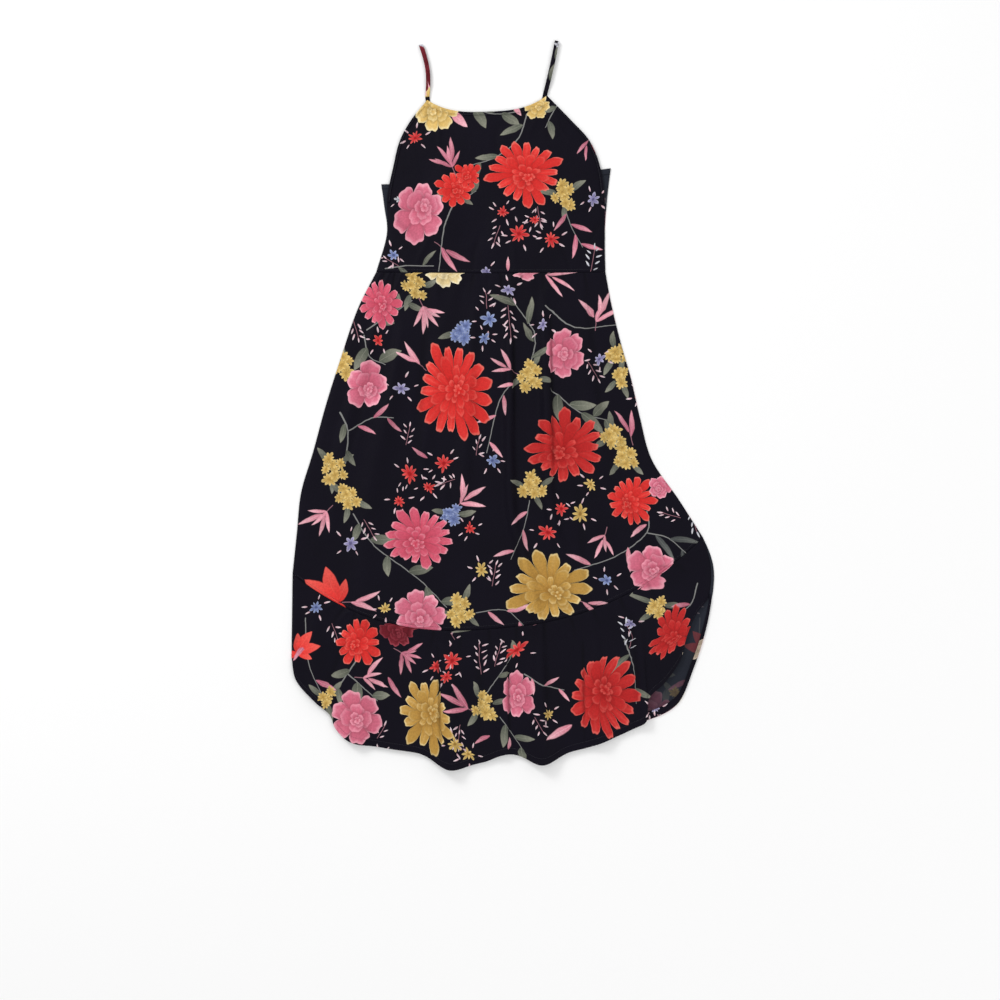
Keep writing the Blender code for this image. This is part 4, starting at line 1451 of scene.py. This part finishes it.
def turned_over(u, height, half_width):
    """Lets the cloth turn down at the side seams, to meet the back."""
    reach = TURNS_FROM_SIDE / half_width
    share = np.clip((np.abs(u) - (1 - reach)) / reach, 0, 1)
    return height * (1 - share**2) + SEAM_EDGE * share**2


def seam_groove(v, at, reach, deep):
    return deep * np.clip(1 - np.abs(v - at) / reach, 0, 1) ** 2


def bodice_top(u, v):
    flat = under_front_bodice(u, v) + CLOTH
    joined = np.clip((v - ARMHOLE_END) / 0.05, 0, 1)
    turned = turned_over(u, flat, HALF_BODICE)
    return flat * (1 - joined) + turned * joined - seam_groove(v, 1.0, 0.008, 0.0006)


def skirt_top(u, v):
    flat = under_skirt(u, v) + CLOTH
    grooves = seam_groove(v, 0.0, 0.004, 0.0006) + seam_groove(v, 1.0, 0.006, 0.0008)
    return turned_over(u, flat, HALF_WAIST + HALF_FLARE * v) - grooves


def flounce_top(u, v):
    flat = under_flounce(u, v) + CLOTH
    hem = 0.0006 * step(v - HEM_STITCH, 0.010) - seam_groove(v, HEM_STITCH, 0.010, 0.0007)
    return turned_over(u, flat, HALF_FLOUNCE) + hem - seam_groove(v, 0.0, 0.012, 0.0008)


def hem_thick(_, v):
    """The hem is turned up twice, so it is thicker."""
    return SHELL + 0.0008 * step(v - 0.955, 0.010)


def band_top(u, v):
    rounded = np.clip(np.minimum(v, BAND_SHARE - v) / 0.006, 0, 1) ** 0.5
    return under_front_bodice(u, v) + BAND - 0.0007 * (1 - rounded)


def lying_back(u, v):
    """The back lies flat; its wrong side has the faint waves of cloth that has been worn."""
    waves = 0.00022 * (np.sin(u * 17 + v * 3) + np.sin(v * 23 - u * 5))
    return np.full_like(u, 0.0009) + waves * np.clip((1 - np.abs(u)) / 0.08, 0, 1)


def back_band_top(u, _):
    return np.full_like(u, 0.0014)


def even(*spans):
    """Places spread evenly over each span (first, last, how many), one span after another."""
    return np.concatenate([np.linspace(*span) for span in spans])


# One row for each panel of cloth: the solid that it stands for, how many columns its grid has, the
# rows of its grid, its form, its top face, its thickness, its part of the print, and whether it is
# at the front.
Panel = namedtuple("Panel", "node columns down spot top thick section front")
PANELS = (
    Panel(
        "bodice_front", 170, even((BAND_SHARE, 0.94, 68), (0.946, 1.0, 10)), front_bodice,
        bodice_top, SHELL, "bodice", True,
    ),
    Panel(
        "skirt_front", 290, even((0, 0.06, 16), (0.068, 0.95, 104), (0.955, 1.0, 10)), skirt,
        skirt_top, SHELL, "skirt", True,
    ),
    Panel(
        "flounce_front", 320, even((0, 0.08, 9), (0.095, 0.93, 54), (0.937, 1.0, 13)),
        front_flounce, flounce_top, hem_thick, "flounce", True,
    ),
    Panel(
        "neck_band", 110, even((0, BAND_SHARE, 8)), front_bodice, band_top, 0.0014, "bodice", True
    ),
    Panel(
        "bodice_back", 130, even((BACK_BAND_SHARE, 1, 44)), back_bodice, lying_back, SHELL,
        "bodice", False,
    ),
    Panel(
        "back_band", 110, even((0, BACK_BAND_SHARE, 5)), back_bodice, back_band_top, 0.0013,
        "bodice", False,
    ),
    Panel("skirt_back", 220, even((0, 1, 110)), skirt, lying_back, SHELL, "skirt", False),
    Panel("flounce_back", 240, even((0, 1, 50)), back_flounce, lying_back, SHELL, "flounce", False),
)


def panel_pieces():
    return {
        panel.node: cloth_shell(panel.node + "_cloth", even((-1, 1, panel.columns)), *panel[2:])
        for panel in PANELS
    }


def turn_up_piece():
    """The back hem's allowance, turned up onto the wrong side, where its right side shows."""

    def spot(u, v):
        hem_x, hem_y = back_flounce(u, np.full_like(u, 0.995))
        seam_x, seam_y = back_flounce(u, np.zeros_like(u))
        deep = np.hypot(hem_x - seam_x, hem_y - seam_y)
        share = np.minimum(TURN_UP_WIDTH / deep, 0.5) * (1 - v)
        return hem_x + (seam_x - hem_x) * share, hem_y + (seam_y - hem_y) * share

    def top(u, v):
        rounded = np.clip(np.minimum(v, 1 - v) / 0.2, 0, 1) ** 0.5
        return np.full_like(u, CLOTH + GAP + TURN_UP) - 0.0005 * (1 - rounded)

    return cloth_shell(
        "hem_turn_up_back_cloth", even((-0.995, 0.985, 300)), even((0.02, 1, 9)), spot, top,
        0.0009, "flounce",
    )


BINDING_SHARE = BINDING_WIDTH / 0.19  # of the half width of the bodice at its armholes


def binding_top(u, v):
    return under_front_bodice(u, v) + CLOTH + GAP + 0.0012


def binding_piece(side):
    first, last = (1 - BINDING_SHARE, 1.0) if side > 0 else (-1.0, -1 + BINDING_SHARE)

    def top(u, v):
        inside = np.clip(np.minimum(u - first, last - u) / 0.010, 0, 1) ** 0.5
        return binding_top(u, v) - 0.0006 * (1 - inside)

    return cloth_shell(
        f"armhole_binding_{'right' if side > 0 else 'left'}_cloth", even((first, last, 9)),
        even((BAND_SHARE, ARMHOLE_END, 90)), front_bodice, top, 0.0010, "bodice",
    )


def behind_length(place):
    lean = (place.corner_x - place.top_x) / (place.top_y - place.corner_y)
    edge = BACK_BODICE_LINES[0]
    slope = (edge.right_y - edge.left_y) / (edge.right_x - edge.left_x)
    reach_y = edge.left_y
    for _ in range(4):
        x = place.top_x + lean * (place.top_y - reach_y)
        across = 2 * (x - edge.left_x) / (edge.right_x - edge.left_x) - 1
        reach_y = float(back_bodice(np.array([across]), np.array([0.0]))[1][0])
    clear = GAP + STRAP_WIDTH / 2 * (abs(lean) + abs(slope) + 0.03)
    return (place.top_y - reach_y - clear) * math.hypot(lean, 1.0)


def strap_stations(front, behind):
    """Places along a strap, as (distance from the shoulder, height): up the front, over the
    shoulder, and down behind."""
    low, high = STRAP_THICK / 2, STRAP_THICK / 2 + 2 * STRAP_BEND
    rest = FRONT_REST + BAND / 2
    path = [(front, rest), (front * 0.9, rest), (front * 0.75, high), (STRAP_BEND * 3, high)]
    for i in range(13):
        turn = math.pi * i / 12
        path.append(
            (STRAP_BEND * (1 - math.sin(turn)), (low + high) / 2 + STRAP_BEND * math.cos(turn))
        )
    path += [(STRAP_BEND * 3, low), (behind * 0.5, low), (behind, low)]
    stations = []
    for (along, height), (to_along, to_height) in zip(path[:-1], path[1:]):
        run, climb = to_along - along, to_height - height
        parts = max(1, round(math.hypot(run, climb) / STRAP_STEP))
        stations += [(along + run * i / parts, height + climb * i / parts) for i in range(parts)]
    return np.array(stations + [path[-1]])


def strap_ring():
    """The strap's outline, across and through it. Two rows of stitching draw its faces in."""
    half, thin = STRAP_WIDTH / 2 - 0.0002, 0.00055
    ring = []
    for i in range(STRAP_SIDES):
        angle = 2 * math.pi * i / STRAP_SIDES
        wide, tall = math.cos(angle), math.sin(angle)
        flat = math.copysign(abs(wide) ** 0.55, wide) * half
        drawn = 0.72 if 0.62 < abs(flat) / half < 0.82 else 1.0
        ring.append((flat, math.copysign(abs(tall) ** 0.6, tall) * thin * drawn))
    return np.array(ring)


def strap_piece(place):
    """A flat tube of cloth, turned right side out and topstitched, bent over at the shoulder."""
    run_x, run_y = place.corner_x - place.top_x, place.corner_y - place.top_y
    front, behind = math.hypot(run_x, run_y), behind_length(place)
    stations = strap_stations(front, behind)
    ahead = np.gradient(stations, axis=0)
    ahead /= np.linalg.norm(ahead, axis=1)[:, None]
    heading = math.atan2(run_y, run_x)
    way = np.array([math.cos(heading), math.sin(heading), 0.0])
    sideways = np.array([-math.sin(heading), math.cos(heading), 0.0])
    upright = np.array([0.0, 0.0, 1.0])
    bow = -place.bow * np.sin(np.pi * np.clip(stations[:, 0] / front, 0, 1))
    ring = strap_ring()
    start = np.array([place.top_x + MOVE_X, place.top_y + MOVE_Y, 0.0])
    points = []
    for (along, height), (go, climb), off in zip(stations, ahead, bow):
        normal = -way * climb + upright * go
        centre = start + way * along + sideways * off + upright * height
        points.append(centre + ring[:, :1] * sideways + ring[:, 1:] * normal)
    count = len(ring)
    faces = []
    for base in range(0, (len(stations) - 1) * count, count):
        for i in range(count):
            j = (i + 1) % count
            faces.append((base + i, base + j, base + count + j, base + count + i))
    last = (len(stations) - 1) * count
    faces.append(tuple(range(count))[::-1])
    faces.append(tuple(last + i for i in range(count)))
    mesh_object = object_from(place.name + "_cloth", np.concatenate(points), faces)
    mesh = mesh_object.data
    mesh.materials.append(PRINTED)
    gone = np.r_[0, np.cumsum(np.linalg.norm(np.diff(stations, axis=0), axis=1))]
    along_cloth = np.repeat(gone, count)
    across_cloth = np.tile(ring[:, 0], len(stations))
    spot = start[:2] + way[:2] * (front - along_cloth)[:, None]
    spot = spot + sideways[:2] * across_cloth[:, None]
    set_points(mesh, "cloth", "FLOAT_VECTOR", np.column_stack([spot, np.zeros(len(spot))]))
    set_points(mesh, "fold_shade", "FLOAT", np.zeros(len(spot)))
    print_on(mesh, spot, "bodice")
    return mesh_object


def stitch_row(points):
    """Points and faces of a row of stitches that follows these places."""
    gone = np.r_[0, np.cumsum(np.linalg.norm(np.diff(points, axis=0), axis=1))]
    ring_low, ring_high, tip = 1, 1 + STITCH_SIDES, 1 + 2 * STITCH_SIDES
    found, faces = [], []
    for start in np.arange(STITCH_PITCH, gone[-1] - STITCH_PITCH, STITCH_PITCH):
        first, last = (
            np.array([np.interp(at, gone, points[:, axis]) for axis in range(3)])
            for at in (start, start + STITCH_LENGTH)
        )
        way = (last - first) / np.linalg.norm(last - first)
        side = np.cross(way, (0, 0, 1))
        side /= np.linalg.norm(side)
        up = np.cross(side, way)
        base = len(found) * (tip + 1)
        body = [first - up * STITCH_THICK]
        for share in (0.18, 0.82):
            centre = first + (last - first) * share + up * STITCH_THICK * 0.5
            for i in range(STITCH_SIDES):
                angle = 2 * math.pi * i / STITCH_SIDES
                body.append(centre + STITCH_THICK * (side * math.cos(angle) + up * math.sin(angle)))
        body.append(last - up * STITCH_THICK)
        found.append(body)
        for i in range(STITCH_SIDES):
            j = (i + 1) % STITCH_SIDES
            low, high = base + ring_low, base + ring_high
            faces.append((base, low + j, low + i))
            faces.append((low + i, low + j, high + j, high + i))
            faces.append((high + i, high + j, base + tip))
    return np.array(found).reshape(-1, 3), faces


def on_panel(spot, top, section, across, down):
    """Places on the outside of a panel, a little above it."""
    across, down = np.broadcast_arrays(np.asarray(across, float), np.asarray(down, float))
    x, y = spot(across, down)
    x, y = x + MOVE_X, y + MOVE_Y
    z = top(across, down)
    height = drape(section, x, y)[0] * edge_fade(across)
    return np.column_stack([x, y, z + height + STITCH_RAISE])


# One row for each row of stitches: the piece that it is sewn on, its form, its top face, its
# section, and where the row runs across and down that piece.
Stitching = namedtuple("Stitching", "name onto spot top section across down")
LONG_ROW, SHORT_ROW = even((-0.985, 0.985, 420)), even((-0.97, 0.97, 300))
DOWN_ARMHOLE = even((BAND_SHARE + 0.01, ARMHOLE_END - 0.01, 160))
IN_BINDING = 1 - 0.72 * BINDING_SHARE
STITCHINGS = tuple(
    Stitching(*row)
    for row in (
        ("hem", "flounce_front", front_flounce, flounce_top, "flounce", LONG_ROW, HEM_STITCH),
        ("neck", "neck_band", front_bodice, band_top, "bodice", SHORT_ROW, NECK_STITCH),
        ("waist", "bodice_front", front_bodice, bodice_top, "bodice", SHORT_ROW, WAIST_STITCH),
        ("tier", "skirt_front", skirt, skirt_top, "skirt", LONG_ROW, TIER_STITCH),
        ("armhole", "bodice_front", front_bodice, binding_top, "bodice", -IN_BINDING, DOWN_ARMHOLE),
        ("armhole", "bodice_front", front_bodice, binding_top, "bodice", IN_BINDING, DOWN_ARMHOLE),
    )
)


def stitch_pieces():
    """{cloth: its pieces of stitching}. Rows of the same name are one piece."""
    sewn = {}
    for name in dict.fromkeys(row.name for row in STITCHINGS):
        points, faces, base = [], [], 0
        rows = [row for row in STITCHINGS if row.name == name]
        for row in rows:
            found, made = stitch_row(on_panel(*row[2:]))
            points.append(found)
            faces += [tuple(i + base for i in face) for face in made]
            base += len(found)
        piece = object_from(name + "_stitches", np.concatenate(points), faces)
        piece.data.materials.append(THREAD)
        sewn.setdefault(rows[0].onto, []).append(piece)
    return sewn


def ground_and_light():
    floor = object_from(
        "floor",
        np.array([(x, y, -0.0004) for y in (-6.0, 6.0) for x in (-6.0, 6.0)]),
        [(0, 1, 3, 2)],
    )
    pale = bpy.data.materials.new("pale floor")
    pale.use_nodes = True
    shader = pale.node_tree.nodes["Principled BSDF"]
    shader.inputs["Base Color"].default_value = (0.93, 0.93, 0.93, 1)
    shader.inputs["Roughness"].default_value = 0.9
    floor.data.materials.append(pale)

    world = bpy.data.worlds.new("studio")
    bpy.context.scene.world = world
    world.use_nodes = True
    sky = world.node_tree.nodes["Background"]
    sky.inputs["Color"].default_value = (1.0, 1.0, 1.0, 1.0)
    sky.inputs["Strength"].default_value = 0.80
    for name, place, size, power in (
        ("window light", (-2.4, 2.6, 2.4), 1.5, 70.0),
        ("fill light", (2.4, -1.6, 3.2), 2.4, 22.0),
    ):
        lamp = bpy.data.lights.new(name, "AREA")
        lamp.shape = "DISK"
        lamp.size = size
        lamp.energy = power
        made = bpy.data.objects.new(name, lamp)
        made.location = place
        made.rotation_euler = aim_down(place)
        bpy.context.scene.collection.objects.link(made)

    camera = bpy.data.cameras.new("camera")
    camera.lens = 66.0
    camera.sensor_width = 36.0
    camera.clip_end = 30.0
    seat = bpy.data.objects.new("camera", camera)
    height = VIEW_WIDTH * camera.lens / camera.sensor_width + 0.004
    seat.location = (-0.0052, -0.1788, height)
    bpy.context.scene.collection.objects.link(seat)
    bpy.context.scene.camera = seat
    bpy.context.scene.view_settings.view_transform = "Standard"


def aim_down(place):
    """Turns a lamp at this place towards the middle of the dress."""
    return (Vector((0.0, -0.1, 0.0)) - Vector(place)).to_track_quat("-Z", "Y").to_euler()


# The row for a piece's flat cut (width and length) and its area where it isn't a rectangle, in
# metres, and what it rests on. No rows of it are made here.
Cut = namedtuple("Cut", "node flat area rests_on")


def build():
    pieces = panel_pieces()
    pieces["hem_turn_up_back"] = turn_up_piece()
    pieces["armhole_binding_left"] = binding_piece(-1)
    pieces["armhole_binding_right"] = binding_piece(1)
    for place in STRAPS:
        pieces[place.name] = strap_piece(place)
    for node, piece in pieces.items():
        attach(piece, "root")
        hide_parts(node)
    sewn = stitch_pieces()
    for stitches in sewn.values():
        for piece in stitches:
            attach(piece, "root")


build()
ground_and_light()
